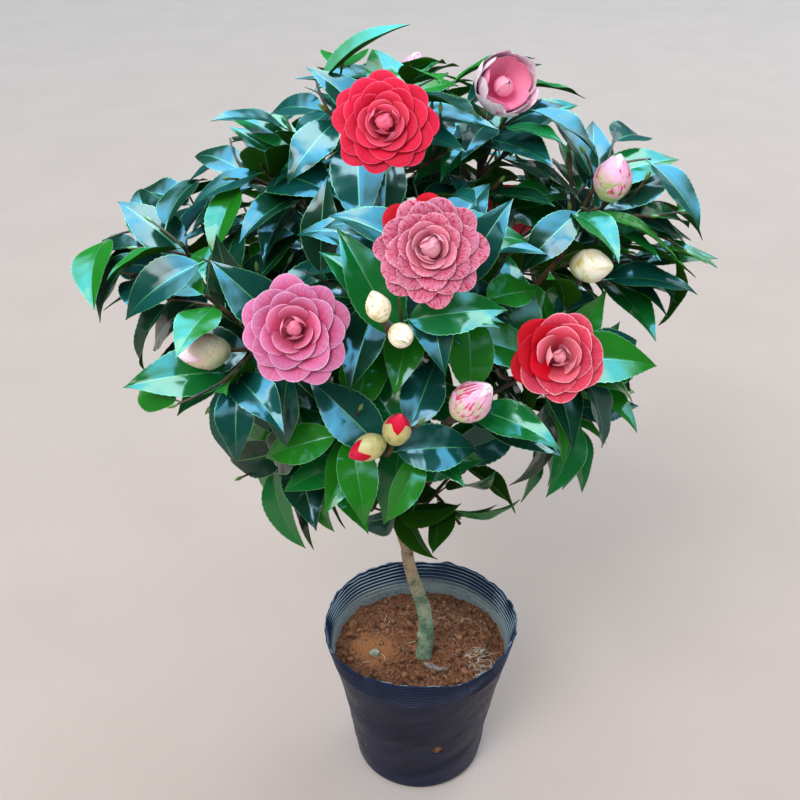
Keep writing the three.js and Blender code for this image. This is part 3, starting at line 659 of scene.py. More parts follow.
# %% Room to grow
def gaps_from(points, limbs):
    """How far each point is from the bark of each straight piece of limb."""
    starts, runs, radii = limbs[:, :3], limbs[:, 3:6] - limbs[:, :3], limbs[:, 6]
    along = ((points[:, None] - starts) * runs).sum(2) / (runs * runs).sum(1)
    nearest = starts + runs * np.clip(along, 0, 1)[..., None]
    return np.linalg.norm(points[:, None] - nearest, axis=2) - radii


def ball_round(points):
    """The middle of some points, and how far the furthest is from it."""
    middle = points.mean(0)
    return middle, np.linalg.norm(points - middle, axis=1).max()


class Crown:
    """All that has grown. owner is the number of the mass that bears a limb or leaf."""

    def __init__(self):
        self.limbs = np.zeros((0, 8))  # each its start, end, radius and owner
        self.leaves, self.middles, self.spans = [], np.zeros((0, 3)), np.zeros(0)
        self.flowers = []

    def add_limb(self, stations, owner):
        rows = [(*a.at, *b.at, a.radius, owner) for a, b in zip(stations, stations[1:])]
        self.limbs = np.concatenate([self.limbs, rows])

    def add_leaf(self, points, owner):
        middle, span = ball_round(points)
        self.leaves.append((points, owner))
        self.middles = np.concatenate([self.middles, [middle]])
        self.spans = np.append(self.spans, span)

    def in_reach(self, points, m):
        away = (points - m.centre) / (1, 1, m.tall)
        return (away**2).sum(1).max() <= m.reach**2

    def clear_of_flowers(self, points):
        for f in self.flowers:
            away = points - f.at
            ahead = away @ f.faces
            aside = np.linalg.norm(away - ahead[:, None] * f.faces, axis=1)
            if ((ahead >= -f.behind) & (ahead <= f.before) & (aside <= f.radius)).any():
                return False
        return True

    def clear_of_limbs(self, points, owner, clearance):
        middle, span = ball_round(points)
        near = self.limbs[gaps_from(middle[None], self.limbs)[0] < span + clearance]
        free = (near[:, 7] == owner) & (SAMPLE_SHARES[:, None] < FREE_OF_OWN_TWIG)
        return not ((gaps_from(points, near) <= clearance) & ~free).any()

    def clear_of_leaves(self, points, owner, clearance):
        middle, span = ball_round(points)
        apart = np.linalg.norm(self.middles - middle, axis=1)
        for i in np.flatnonzero(apart < self.spans + span + clearance):
            others, other_owner = self.leaves[i]
            squares = (points**2).sum(1)[:, None] + (others**2).sum(1)
            close = squares - 2 * points @ others.T < clearance**2
            if other_owner == owner:
                close &= np.minimum(SAMPLE_SHARES[:, None], SAMPLE_SHARES) >= FREE_OF_KIN
            if close.any():
                return False
        return True

    def has_room_for(self, points, plant, clearances):
        return (self.in_reach(points, plant.mass) and self.clear_of_flowers(points)
                and self.clear_of_limbs(points, plant.owner, clearances[1])
                and self.clear_of_leaves(points, plant.owner, clearances[0]))

    def has_room_for_twig(self, stations, owner):
        samples = [station_at(stations, i / TWIG_SAMPLES) for i in range(TWIG_SAMPLES + 1)]
        at, radii = np.array([s.at for s in samples]), np.array([s.radius for s in samples])
        gaps = gaps_from(at, self.limbs[self.limbs[:, 7] != owner])
        return not (gaps < radii[:, None] + TWIG_CLEARANCE).any()


crown = Crown()
print("the crown can be asked for room")

# %% [markdown]
# ## Growing the masses
# First every limb and flower takes its place, and then each twig bears its leaves from its tip
# backwards. Each leaf tries several lies until one has room. These are the CAD model's own
# leaves, one for one, so the dressed crown keeps the outline of its solids.

# %% Grow the source's crown
BOUGH_OWNER, TRUNK_OWNER = -1, -2
crown.add_limb(trunk.stations, TRUNK_OWNER)
for bough in boughs.values():
    crown.add_limb(bough.stations, BOUGH_OWNER)


def keep_clear(f, faces, behind, before):
    """A round room about a flower where nothing may grow."""
    crown.flowers.append(SimpleNamespace(at=f.at, faces=faces, radius=f.radius + FLOWER_ROOM,
                                         behind=behind, before=before))


plants = []
for owner, m in enumerate(MASSES):
    stem = stem_limb(m, boughs[m.name].stations)
    twigs = []
    for j, f in enumerate(f for f in BLOOMS + BUDS if f.mass == m.name):
        twig = flower_twig(stem.stations, f.at - f.faces * f.neck, f.faces, j)
        twigs.append(SimpleNamespace(limb=twig, flower=f))
        keep_clear(f, f.faces, f.behind + FLOWER_ROOM, f.before + FLOWER_ROOM)
    for k in range(m.twigs):
        twig = free_twig(m, stem.stations, k, seeded(1000 * m.seed + k))
        if crown.has_room_for_twig(twig.stations, owner):
            twigs.append(SimpleNamespace(limb=twig, flower=None))
    crown.add_limb(stem.stations, owner)
    for twig in twigs:
        crown.add_limb(twig.limb.stations, owner)
    plants.append(SimpleNamespace(mass=m, owner=owner, stem=stem, twigs=twigs, sprays=[]))


def bear_leaves(plant, twig, k, most, seed, tries, clearances):
    """Leaves along a twig from its tip backwards, each where there is room for it."""
    stations = twig.limb.stations
    length = length_of(stations)
    bare = BARE_NECK if twig.flower else BARE_TIP
    spray = []
    for j in range(most):
        back = bare + INTERNODE * j * (1 + INTERNODE_GROWTH * j)
        if back > LEAFY_SHARE * length:
            break
        start = station_at(stations, 1 - back / length)
        draw = seeded(seed + 10 * j)
        for _ in range(tries):
            leaf = draw_leaf(start, j, k, draw)
            points = leaf_points(leaf, SAMPLE_T, SAMPLE_U)[0].reshape(-1, 3)
            if crown.has_room_for(points, plant, clearances):
                crown.add_leaf(points, plant.owner)
                spray.append(leaf)
                break
    plant.sprays.append(spray)
    return spray


for plant in plants:
    for k, twig in enumerate(plant.twigs):
        seed = 100000 * plant.mass.seed + 1000 * k
        bear_leaves(plant, twig, k, plant.mass.bears, seed, TRIES, CLEARANCES)
print(len(crown.leaves), "leaves as in the source")

# %% [markdown]
# ## Finer twigs
# A real shrub branches once more. Side twigs leave the stems and twigs, lean outwards and bear
# leaves of their own. The blades are thin here, so they may lie closer together than the solid
# ones, but they keep to the same reach, and sky still shows where it did.

# %% Grow the finer twigs
SIDE_TWIG_PLACES = (0.35, 0.65, 0.92)
SIDE_TWIG_LEAN = (32, 75)  # degrees from the twig that bears it
SIDE_TWIG_LENGTH = (0.28, 0.52)  # of the mass's reach
SIDE_TWIG_RADIUS, SIDE_TWIG_TIP = 1.2, 0.8
SIDE_TWIG_REACH = 0.8  # of the mass's reach, at its tip
SIDE_TWIG_TRIES, SIDE_LEAF_TRIES, LEAVES_ON_A_SIDE_TWIG = 6, 22, 4
THIN_CLEARANCES = (2.8, 2.0)
VIEW_DEPTH = 90  # fine leaves keep this far out of the view of a flower
FROM_FRONT, FROM_BACK = unit(v(0, -0.86, 0.5)), unit(v(0, 0.86, 0.5))
BACK_FROM = 60  # flowers further back than this are seen from behind


def side_twig(plant, bearer, share, draw):
    start = station_at(bearer.stations, share)
    lean = math.radians(lerp(*SIDE_TWIG_LEAN, draw()))
    outward = unit(start.at - CROWN_MIDDLE)
    way = unit(fan(start.runs, lean, 2 * math.pi * draw()) + outward * 0.35 + UP * 0.1)
    tip = start.at + way * (plant.mass.reach * lerp(*SIDE_TWIG_LENGTH, draw()))
    return grown_limb(start, way, 0.6, tip, SIDE_TWIG_RADIUS, SIDE_TWIG_TIP, 4)


def twig_fits(plant, twig):
    at = np.array([station_at(twig.stations, share).at for share in np.linspace(0.15, 1, 8)])
    tip = (at[-1] - plant.mass.centre) / (1, 1, plant.mass.tall)
    return (span_of(tip) < SIDE_TWIG_REACH * plant.mass.reach and crown.clear_of_flowers(at)
            and crown.has_room_for_twig(twig.stations, plant.owner))


for f in BLOOMS + BUDS:
    keep_clear(f, FROM_BACK if f.at[1] > BACK_FROM else FROM_FRONT, 0, VIEW_DEPTH)
for plant in plants:
    seed = 7000 + 100 * plant.mass.seed
    bearers = [plant.stem] + [twig.limb for twig in plant.twigs]
    for n, (bearer, share) in enumerate(itertools.product(bearers, SIDE_TWIG_PLACES)):
        draw = seeded(seed + n)
        for _ in range(SIDE_TWIG_TRIES):
            twig = SimpleNamespace(limb=side_twig(plant, bearer, share, draw), flower=None)
            if twig_fits(plant, twig.limb) and bear_leaves(
                    plant, twig, n, LEAVES_ON_A_SIDE_TWIG, 1000 * seed + 100 * n + 50,
                    SIDE_LEAF_TRIES, THIN_CLEARANCES):
                crown.add_limb(twig.limb.stations, plant.owner)
                plant.twigs.append(twig)
                break
twig_count = sum(len(plant.twigs) for plant in plants)
print(len(crown.leaves), "leaves on", twig_count, "twigs with the finer ones")

# %% [markdown]
# ## Leaf finishes
# The upper side is a waxy dark green that mirrors the sky, so it has a clear coat and a faint
# bump for its leathery grain. The underside is duller and olive. Each spray is dealt one of a
# few greens. The midrib is a paler strip of real faces, and the paler strip at the margin is a
# painted highlight along the serrated edge.

# %% Leaf finishes
SHINE = dict(Roughness=0.5, Specular_IOR_Level=0.06, Coat_Weight=0.62, Coat_Roughness=0.14)
LEAF_LOOKS = {
    "leaf_deep": dict(Base_Color=(0.001, 0.026, 0.01), **SHINE),
    "leaf_blue": dict(Base_Color=(0.002, 0.052, 0.038), **SHINE),
    "leaf_mid": dict(Base_Color=(0.003, 0.118, 0.018), **SHINE),
    "leaf_fresh": dict(Base_Color=(0.012, 0.165, 0.008), **SHINE),
    "leaf_under": dict(Base_Color=(0.02, 0.09, 0.006), Roughness=0.7, Specular_IOR_Level=0.03),
    "leaf_rib": dict(Base_Color=(0.022, 0.15, 0.02), Roughness=0.38, Coat_Weight=0.4,
                     Coat_Roughness=0.25),
    # The margin strip's pale green is a painted highlight along the leaf's serrated edge.
    "leaf_rim": dict(Base_Color=(0.07, 0.23, 0.06), Roughness=0.4, Coat_Weight=0.3,
                     Coat_Roughness=0.3),
}
DEEP, BLUE, MID, FRESH, UNDER, RIB, RIM_HIGHLIGHT = range(len(LEAF_LOOKS))


def leathery(wire):
    height = wire.grain(110, 3) * 0.12 + wire.grain(420, 3) * 0.3 + wire.grain(1600, 2) * 0.45
    return {"Normal": wire.bump(height, 0.55, 0.0012)}


leaf_finishes = [finish(name, leathery, **look) for name, look in LEAF_LOOKS.items()]
print(len(leaf_finishes), "leaf finishes")

# %% [markdown]
# ## Leaf blades
# Each blade is a grid along and across the leaf. Its rows pinch in at every tooth of the fine
# saw edge, the surface swells between side veins and the midrib sinks in a groove. The margin
# waves a little, and the tip curls under. A short stalk joins the blade to its twig.

# %% Leaf blades
LEAF_ROWS = 33
LEAF_COLUMNS = np.array((-1, -0.965, -0.62, -0.3, -0.032, 0.032, 0.3, 0.62, 0.965, 1))
COLUMN_LOOKS = "rim top top top rib top top top rim".split()
LEAF_T = np.linspace(0, 1, LEAF_ROWS)
BLADE_THICKNESS, LEAST_HALF_WIDTH, SLIMMING = 0.45, 0.35, 0.22
TOOTH_DEPTH = 0.04  # of the half-width
VEIN_PAIRS, VEIN_SLANT, VEIN_SWELL = 6, 1.3, 0.35
MIDRIB_SINK, TIP_CURL, WAVE = 0.45, 3.0, 1.1
STALK_SIDES = 5
SPRAY_GREENS = (DEEP, BLUE, BLUE, MID, DEEP)
LOW_SPRAY_GREENS = (DEEP, MID, MID, FRESH, BLUE)
FRESH_SHARE = 0.35  # of the sprays, whose young leaves are fresh green


def blade(leaf):
    draw = leaf.draw
    u, t = np.meshgrid(LEAF_COLUMNS, LEAF_T)
    grid, above = leaf_points(leaf, LEAF_T, LEAF_COLUMNS, LEAST_HALF_WIDTH, SLIMMING)
    inwards = 0.5 * (grid[:, 4] + grid[:, 5])[:, None] - grid
    tooth = np.where(np.arange(LEAF_ROWS) % 2 == 0, TOOTH_DEPTH, 0.0) * (LEAF_T < 0.97)
    grid = grid + inwards * (tooth[:, None] * (abs(u) > 0.9))[..., None]
    full = np.sin(np.pi * t) ** 0.5
    swell = VEIN_SWELL * np.cos(2 * np.pi * (VEIN_PAIRS * t - VEIN_SLANT * abs(u))) * full
    swell = swell * (1 - abs(u)) * abs(u) * 4
    groove = -MIDRIB_SINK * (abs(u) < 0.1) * full
    left, right = 2 * np.pi * draw(), 2 * np.pi * draw()
    wave = np.sin(lerp(9, 15, draw()) * t + np.where(u < 0, left, right)) * u * u * full
    wave = WAVE * lerp(0.4, 1.3, draw()) * wave
    curl = -TIP_CURL * lerp(0.3, 1.4, draw()) * t**6
    return grid + above[:, None] * (swell + groove + wave + curl)[..., None]


def add_leaf_mesh(patchwork, leaf, green):
    points, upper, under = two_sided(blade(leaf), BLADE_THICKNESS)
    sides = {"rim": RIM_HIGHLIGHT, "top": green, "rib": RIB}, {"rim": UNDER, "top": UNDER, "rib": RIB}
    patchwork.add(points, upper + under,
                  [side[look] for side in sides for look in COLUMN_LOOKS * (LEAF_ROWS - 1)])
    stalk = ((leaf.root, 0.75), (lerp(leaf.root, leaf.foot, 0.5), 0.6), (leaf.foot, 0.65),
             (leaf.foot + leaf.runs * 5 - leaf.face * 0.5, 0.3))
    rings = [ring_round(at, leaf.side, leaf.face, radius, STALK_SIDES) for at, radius in stalk]
    patchwork.add(rings, ring_faces(len(rings), STALK_SIDES), RIB)


leaf_faces = 0
for plant in plants:
    patchwork = Patchwork()
    greens = LOW_SPRAY_GREENS if plant.mass.centre[2] < HANGING[0] else SPRAY_GREENS
    for k, spray in enumerate(plant.sprays):
        draw = seeded(500 * plant.mass.seed + k)
        green, fresh = greens[int(draw() * len(greens))], draw() < FRESH_SHARE
        for leaf in spray:
            add_leaf_mesh(patchwork, leaf, FRESH if leaf.young and fresh else green)
    piece = patchwork.make("leaves_" + plant.mass.name, leaf_finishes, "foliage", sharp=80)
    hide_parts("foliage_" + plant.mass.name)
    leaf_faces += len(piece.data.polygons)
print("leaf faces:", leaf_faces)

# %% [markdown]
# ## Twigs
# Young twigs are slim red-brown shoots with a slight swelling where each leaf stands. They are
# tubes along the limbs' own curves, all in one mesh. Green resting buds close half the free tips.


# %% Twigs
def tube(stations, sides, swelling=0.0):
    """Rings along a limb, as points and faces."""
    side = sides_of(stations[0].runs)[0]
    rings = []
    for i, s in enumerate(stations):
        side = square_to(s.runs, side)
        radius = s.radius * (1 + swelling * (i % 2))
        rings.append(ring_round(s.at, side, np.cross(s.runs, side), radius, sides))
    return np.concatenate(rings), ring_faces(len(rings), sides)


def fine_stations(limb_drawn, step):
    """The limb's own curve in steps of about this length."""
    steps = max(3, round(length_of(limb_drawn.stations) / step))
    return curved_limb(*limb_drawn.shape, steps, limb_drawn.flare)


TWIG_SIDES = 7
STEM_STEP, TWIG_STEP = 7, 4.5
STEM_SWELLING, TWIG_SWELLING = 0.05, 0.1
RESTING_BUD_LENGTH, RESTING_BUD_RADIUS, RESTING_BUD_SHARE = 9.0, 1.35, 0.5
RESTING_BUD_PROFILE = ((0.0, 0.75), (0.2, 1.15), (0.45, 1.3), (0.75, 0.8), (1.0, 0.08))

twig_work = Patchwork()
for plant in plants:
    twig_work.add(*tube(fine_stations(plant.stem, STEM_STEP), TWIG_SIDES, STEM_SWELLING))
    for twig in plant.twigs:
        stations = fine_stations(twig.limb, TWIG_STEP)
        twig_work.add(*tube(stations, TWIG_SIDES, TWIG_SWELLING))
        end = stations[-1]
        if twig.flower is None and seeded(round(1000 * end.at[0]))() < RESTING_BUD_SHARE:
            resting = [station(end.at + end.runs * (share * RESTING_BUD_LENGTH - 1), end.runs,
                               girth * RESTING_BUD_RADIUS) for share, girth in RESTING_BUD_PROFILE]
            twig_work.add(*tube(resting, TWIG_SIDES), 1)
young_bark = mottled("young_bark", (90, 3, 0.35, 0.65), (0.03, 0.014, 0.008),
                     (0.11, 0.06, 0.024), (900, 3, 0.4, 0.0006), Roughness=0.55,
                     Specular_IOR_Level=0.35)
resting_bud = finish("resting_bud", leathery, Base_Color=(0.12, 0.22, 0.04), Roughness=0.42,
                     Coat_Weight=0.3, Coat_Roughness=0.3)
twigs_piece = twig_work.make("twigs", [young_bark, resting_bud], "bough_bark", sharp=60)
print("twig faces:", len(twigs_piece.data.polygons))

# %% [markdown]
# ## Trunk and boughs
# Wood grows together where limbs meet, so a voxel remesh melts the tubes of the trunk and boughs
# into one skin with soft collars. Its points then move along their normals by slow swellings,
# fine wrinkles along the grain and one old pruning knob low on the left. Smooth camellia bark is
# tan and grey, green with algae low down, and red-brown on the thin limbs.

# %% Trunk and boughs
BARK_VOXEL = 0.95
TRUNK_STEP, BOUGH_STEP, TRUNK_SIDES, BOUGH_SIDES = 3, 5, 28, 16
SUNK_FOOT = 3.0  # how far the trunk goes down into the crumbly soil
KNOB_AT, KNOB_RADIUS, KNOB_HEIGHT = v(-3, -17, 175), 4.5, 4.5
SWELLING, GRAIN_RELIEF, FINE_RELIEF = 0.55, 0.3, 0.12


def melted(patchwork, voxel):
    """The tubes of a patchwork as one skin, by a voxel remesh."""
    rough = put("melting", patchwork.mesh("melting"))
    remesh = rough.modifiers.new("remesh", "REMESH")
    remesh.mode, remesh.voxel_size = "VOXEL", voxel * MM
    evaluated = rough.evaluated_get(bpy.context.evaluated_depsgraph_get())
    skin = bpy.data.meshes.new_from_object(evaluated)
    bpy.data.meshes.remove(rough.data)  # the object goes with its mesh
    return skin


def numbers_of(collection, key):
    found = np.zeros(len(collection) * 3, np.float32)
    collection.foreach_get(key, found)
    return found.reshape(-1, 3).astype(float)


limb_work = Patchwork()
limb_stations = fine_stations(trunk, TRUNK_STEP)
foot = limb_stations[0]
sunk = station(foot.at - UP * SUNK_FOOT, UP, foot.radius)
limb_work.add(*tube([sunk] + limb_stations, TRUNK_SIDES))
for bough in boughs.values():
    stations = fine_stations(bough, BOUGH_STEP)
    limb_work.add(*tube(stations, BOUGH_SIDES))
    limb_stations += stations
bark_mesh = melted(limb_work, BARK_VOXEL)

tree = KDTree(len(limb_stations))
for i, s in enumerate(limb_stations):
    tree.insert(s.at, i)
tree.balance()
at = numbers_of(bark_mesh.vertices, "co") / MM
out = numbers_of(bark_mesh.vertex_normals, "vector")
girth = np.array([limb_stations[tree.find(p)[1]].radius for p in at]) / TRUNK_FOOT_RADIUS
relief = (SWELLING * lumps(at, 13, 5) + GRAIN_RELIEF * rough_lumps(at * (1, 1, 0.22), 2.6, 2, 11)
          + FINE_RELIEF * lumps(at, 1.4, 17)) * np.clip(girth, 0.25, 1)
knob = np.exp(-(((at - KNOB_AT) / KNOB_RADIUS) ** 2).sum(1))
at = at + out * (relief + KNOB_HEIGHT * knob)[:, None]
bark_mesh.vertices.foreach_set("co", (at * MM).astype(np.float32).ravel())
keep_value(bark_mesh, "girth", girth)
bark_mesh.shade_smooth()


def smooth_bark(wire):
    patches, fine = wire.grain(60, 4), wire.grain(420, 4)
    tan = (patches + fine * 0.5).between(0.52, 0.92).blend((0.085, 0.05, 0.026),
                                                          (0.33, 0.245, 0.155))
    wood = wire.kept("girth").between(0.3, 0.52).blend((0.105, 0.045, 0.022), tan)
    damp = (wire.height() + (patches - 0.5) * 0.12).between(0.275, 0.185)
    algae = (fine * 0.7 + patches).between(0.62, 1.05).blend((0.06, 0.125, 0.075),
                                                           (0.26, 0.35, 0.225))
    return {"Base Color": damp.blend(wood, algae),
            "Normal": wire.bump(fine + wire.grain(1400, 2) * 0.5, 0.5, 0.0012)}


bark_mesh.materials.append(finish("smooth_bark", smooth_bark, Roughness=0.72,
                                  Specular_IOR_Level=0.3))
bark_piece = place(bark_mesh, "trunk_and_boughs")
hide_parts("trunk", *["bough_" + m.name for m in MASSES])
print("bark faces:", len(bark_mesh.polygons))

# %% [markdown]
# ## Petals
# A petal is a broad sheet with a round end. It starts near the flower's axis, follows a curve
# outwards and up, and is rolled about the axis: tightly near the middle, hardly at all at the
# outside. One function makes petals, sepals and bud scales from such a curve, and keeps at each
# point how far it is along the petal and how near to the rim, so the finish can follow them.

# %% Petals
PETAL_V = np.linspace(0, 1, 12) ** 0.8
PETAL_U = np.linspace(-1, 1, 11)
PETAL_THICKNESS = 0.5
FLAT_ROLL = 48.0


def petal_outline(along):
    """Half-width of a petal: narrow at its foot, and broad from two thirds on."""
    return 0.3 + 0.7 * np.sin(0.5 * np.pi * np.clip(along / 0.72, 0, 1)) ** 1.2


def add_petal(patchwork, flower, turn, curve, half, roll, draw, look=0, round_end=0.42,
              ripple=0.7, point=0.0, lean=0.0, cup=0.0, flat=0.0, outline=petal_outline,
              red=0.0, heart=0.0):
    """curve(along) gives the distance from the axis and the height. The petal is rolled to
    that distance times the first of roll, plus its second, and flatter by flat. cup lifts its
    sides."""
    u, row = np.meshgrid(PETAL_U, PETAL_V)
    rounded = round_end * abs(u) ** 2.2 - point * np.exp(-((u / 0.22) ** 2))
    along = row * (1 - rounded * row**1.5)
    away, height = curve(along)
    rolled = lerp(away * roll[0] + roll[1], FLAT_ROLL, flat)
    angle = u * half * outline(along) / rolled
    radial = (away - rolled + rolled * np.cos(angle))[..., None]
    aside = (rolled * np.sin(angle))[..., None]
    phases = [2 * np.pi * draw() for _ in range(3)]
    lift = ripple * along**2 * (np.sin(3.1 * u + phases[0]) * abs(u)
                                + 0.5 * np.sin(7 * u + phases[1]) * row**3
                                + 0.5 * np.sin(5 * along + phases[2]))
    lift = lift + lean * along * u + cup * along * u * u
    up_side, other = sides_of(flower.faces)
    grid = (flower.at + radial * (math.cos(turn) * up_side + math.sin(turn) * other)
            + aside * (-math.sin(turn) * up_side + math.cos(turn) * other)
            + (height + lift)[..., None] * flower.faces)
    points, upper, under = two_sided(grid, PETAL_THICKNESS)
    rim = np.maximum(abs(u) ** 1.5 * (0.35 + 0.65 * row), row)
    kept = {key: np.concatenate([value.ravel(), value[1:-1, 1:-1].ravel()])
            for key, value in (("along", along), ("aside", u * 0.5 + 0.5), ("rim", rim))}
    patchwork.add(points, upper + under, look, **kept, tone=draw(), red=red, heart=heart)


def bezier(start, bend, end):
    """A curve from start to end, each a distance from the axis and a height, drawn to bend."""
    def curve(along):
        s = 1 - along
        return [a * s * s + 2 * b * s * along + c * along * along
                for a, b, c in zip(start, bend, end)]

    return curve


print("a petal has", (len(PETAL_V) - 1) * (len(PETAL_U) - 1), "faces a side")

# %% [markdown]
# ## Petal finishes
# Petals are satin, not glossy. Their colour changes from the foot to the rim, with fine veins
# that fan out along them, and towards the foot it is darkened as painted shade. The four big
# blooms differ: one is crimson, one pale with red flecks and two red petals, one rose with almost
# white rims, and one half red and half blush.

# %% Petal finishes
WHOLLY_RED = (0.56, 0.002, 0.014)
# The foot colours are darker than the middles as painted shade at the petals' bases.
PETAL_COLOURS = {  # foot, middle, tip, rim, where the rim begins, heart, flecks, how many
    "red": ((0.4, 0.002, 0.01), (0.6, 0.003, 0.02), (0.72, 0.014, 0.06),
            (0.86, 0.16, 0.26), 0.95, (1.0, 0.2, 0.33)),
    "speckled": ((0.42, 0.015, 0.05), (0.52, 0.06, 0.14), (0.66, 0.22, 0.34),
                 (0.88, 0.7, 0.78), 0.955, (0.9, 0.38, 0.48), (0.46, 0.006, 0.04), 0.52),
    "rose": ((0.42, 0.01, 0.05), (0.56, 0.045, 0.15), (0.62, 0.19, 0.38),
             (0.84, 0.66, 0.82), 0.95, (0.95, 0.27, 0.41)),
    "bicolour": ((0.36, 0.004, 0.02), (0.54, 0.01, 0.035), (0.7, 0.07, 0.125),
                 (0.92, 0.56, 0.62), 0.94, (0.97, 0.38, 0.47), (0.54, 0.003, 0.02), 0.3),
    "blush": ((0.8, 0.16, 0.32), (1.0, 0.58, 0.76), (1.0, 0.86, 0.96),
              (1.0, 0.96, 1.0), 0.88, (0.98, 0.24, 0.44), (0.85, 0.12, 0.3), 0.3),
    "cream": ((0.6, 0.58, 0.28), (0.8, 0.74, 0.45), (0.86, 0.8, 0.58),
              (0.86, 0.76, 0.62), 0.95, (0.8, 0.3, 0.36)),
}


def petal_finish(name, foot, middle, tip, rim, rim_from, heart, fleck=None, flecked=0):
    def build(wire):
        along, edge, tone = (wire.kept(key) for key in ("along", "rim", "tone"))
        veins = wire.streaks(34.0, 3.0, 90.0, 3)
        # Towards its foot the colour darkens: painted shade at the petal's base.
        colour = along.between(0.1, 0.7).blend(foot, middle)
        colour = (edge + (veins - 0.5) * 0.25).between(0.55, 1.02).blend(colour, tip)
        rim_share = (edge + (veins - 0.5) * 0.05).between(rim_from, rim_from + 0.07)
        outer = wire.kept("heart").between(0.0, 0.5) * 0.6 + 0.4
        colour = (rim_share * outer).blend(colour, rim)
        if fleck:
            spots = wire.streaks(22.0, 7.0, 50.0, 5, 0.75)
            spots = spots.between(0.66 - 0.3 * flecked, 0.74 - 0.3 * flecked)
            colour = (spots * 0.85).blend(colour, fleck)
        inmost = wire.kept("heart").between(0.48, 0.97) * (along * 0.6 + 0.4)
        colour = inmost.blend(colour, heart)
        colour = wire.kept("red").between(0.35, 0.65).blend(colour, WHOLLY_RED)
        # The value follows each petal's own tone and its veins, and falls towards the foot as
        # painted shade.
        tone_and_painted_shade = (tone * 0.3 + veins * 0.3).between(0.05, 0.5) * 0.28
        tone_and_painted_shade = tone_and_painted_shade + along.between(0.35, 0.95) * 0.12 + 0.7
        shaded = wire.node("HueSaturation", {"Value": tone_and_painted_shade, "Color": colour})
        return {"Base Color": shaded, "Normal": wire.bump(veins, 0.25, 0.0008)}

    return finish("petals_" + name, build, Roughness=0.5, Specular_IOR_Level=0.1,
                  Sheen_Weight=0.04, Sheen_Roughness=0.4)


petal_finishes = {name: petal_finish(name, *row) for name, row in PETAL_COLOURS.items()}
sepal_finish = mottled("sepals", (300, 3, 0.5, 0.7), (0.15, 0.23, 0.05),
                       (0.17, 0.11, 0.04), (700, 2, 0.3, 0.0008), Roughness=0.5,
                       Specular_IOR_Level=0.35)
print(len(petal_finishes), "petal finishes")

# %% [markdown]
# ## Double blooms
# A formal double camellia is tiers of petals laid like roof tiles, each tier a little further
# out, flatter and lower, down to an outer tier that bends back. Turning each petal a golden
# angle from the last gives that tiling from one loop. The innermost petals stand up and wrap
# the closed middle. Green sepals hold it from behind.

# %% Double blooms
PETALS = {  # how many, how broad, how far the rows reach by the bloom's radius
    "red": (38, 1.08, 1.0), "speckled": (42, 1.0, 1.0), "rose": (32, 1.18, 1.07),
    "bicolour": (24, 1.34, 1.0),
}
HEARTS = {  # the closed middle's radius, how many loose petals are round it, how open
    "red": (5.0, 5, 1.0), "speckled": (5.6, 3, 0.3), "rose": (4.4, 4, 0.8),
    "bicolour": (3.6, 5, 1.3),
}
RED_PETALS = {  # how far out they begin, from and to which turn, in degrees from the top
    "speckled": (0.88, -10, 75), "bicolour": (0.3, 10, 130),
}
HEART_PETALS, SEPALS = 4, 6


def tile_curve(size, q, draw):
    """How a petal runs that stands at share q of the way from the heart to the outside."""
    out = size * (0.12 + 0.9 * (1 - (1 - q) ** 1.6)) * lerp(0.97, 1.03, draw())
    height = lerp(9.5, -6.0, q**0.8) + 1.4 * (draw() - 0.5)
    bend_out = lerp(0.88, 0.62, min(1, q / 0.5)) * out
    bend_height = height + lerp(-6.0, 1.2, min(1, q / 0.6) ** 0.6)
    return bezier((2 + 3 * q, -10.0), (bend_out, bend_height), (out, height))


def add_heart(work, flower, draw):
    """The closed middle: a little bud of petals whose tips meet, and loose ones round it."""
    girth, loose, openness = HEARTS[flower.kind]
    across, _ = sides_of(flower.faces)
    aside = SimpleNamespace(at=flower.at + across * openness * 2 * (draw() - 0.5),
                            faces=flower.faces)
    for k in range(HEART_PETALS):
        curve = bezier((1.0, -6.0), (2 * girth + 0.5 * k, 3.0), (0.3 + 0.6 * k, 10.0 - 0.4 * k))
        add_petal(work, aside, 2.1 * k + draw(), curve, girth + 1.0 + 0.4 * k, (1, 0.8), draw,
                  round_end=0.25, ripple=0.3, point=0.06, lean=openness * (draw() - 0.5),
                  heart=1.0)
    for k in range(loose):
        far = girth + 1.4 + 0.9 * k + openness * 0.5 * k
        end = (far * lerp(0.75, 1.05, draw()), 10.0 - 0.5 * k)
        add_petal(work, aside, 2.4 * k + draw(), bezier((1.5, -8.0), (1.45 * far, -1.0), end),
                  6.0 + 0.8 * k, (1 + 0.35 * openness, 1.0), draw, round_end=0.34, ripple=0.8,
                  point=0.1, lean=2.5 * openness * (draw() - 0.5), heart=0.95)


def redness(kind, turn, q):
    """Which petals of a bloom are wholly red, by how far out and round from the top they are."""
    q_from, turn_from, turn_to = RED_PETALS.get(kind, (1, 0, 0))
    return float(q > q_from and 0 < (math.degrees(turn) - turn_from) % 360 < turn_to - turn_from)


def add_sepals(work, flower, draw, reach, height):
    for k in range(SEPALS):
        curve = bezier((1.0, height - 5), (reach * 0.8, height - 5), (reach, height + 1.5))
        add_petal(work, flower, 2 * math.pi * k / SEPALS + draw() * 0.4, curve, 4.6, (0, 14.0),
                  draw, look=1, ripple=0.3)


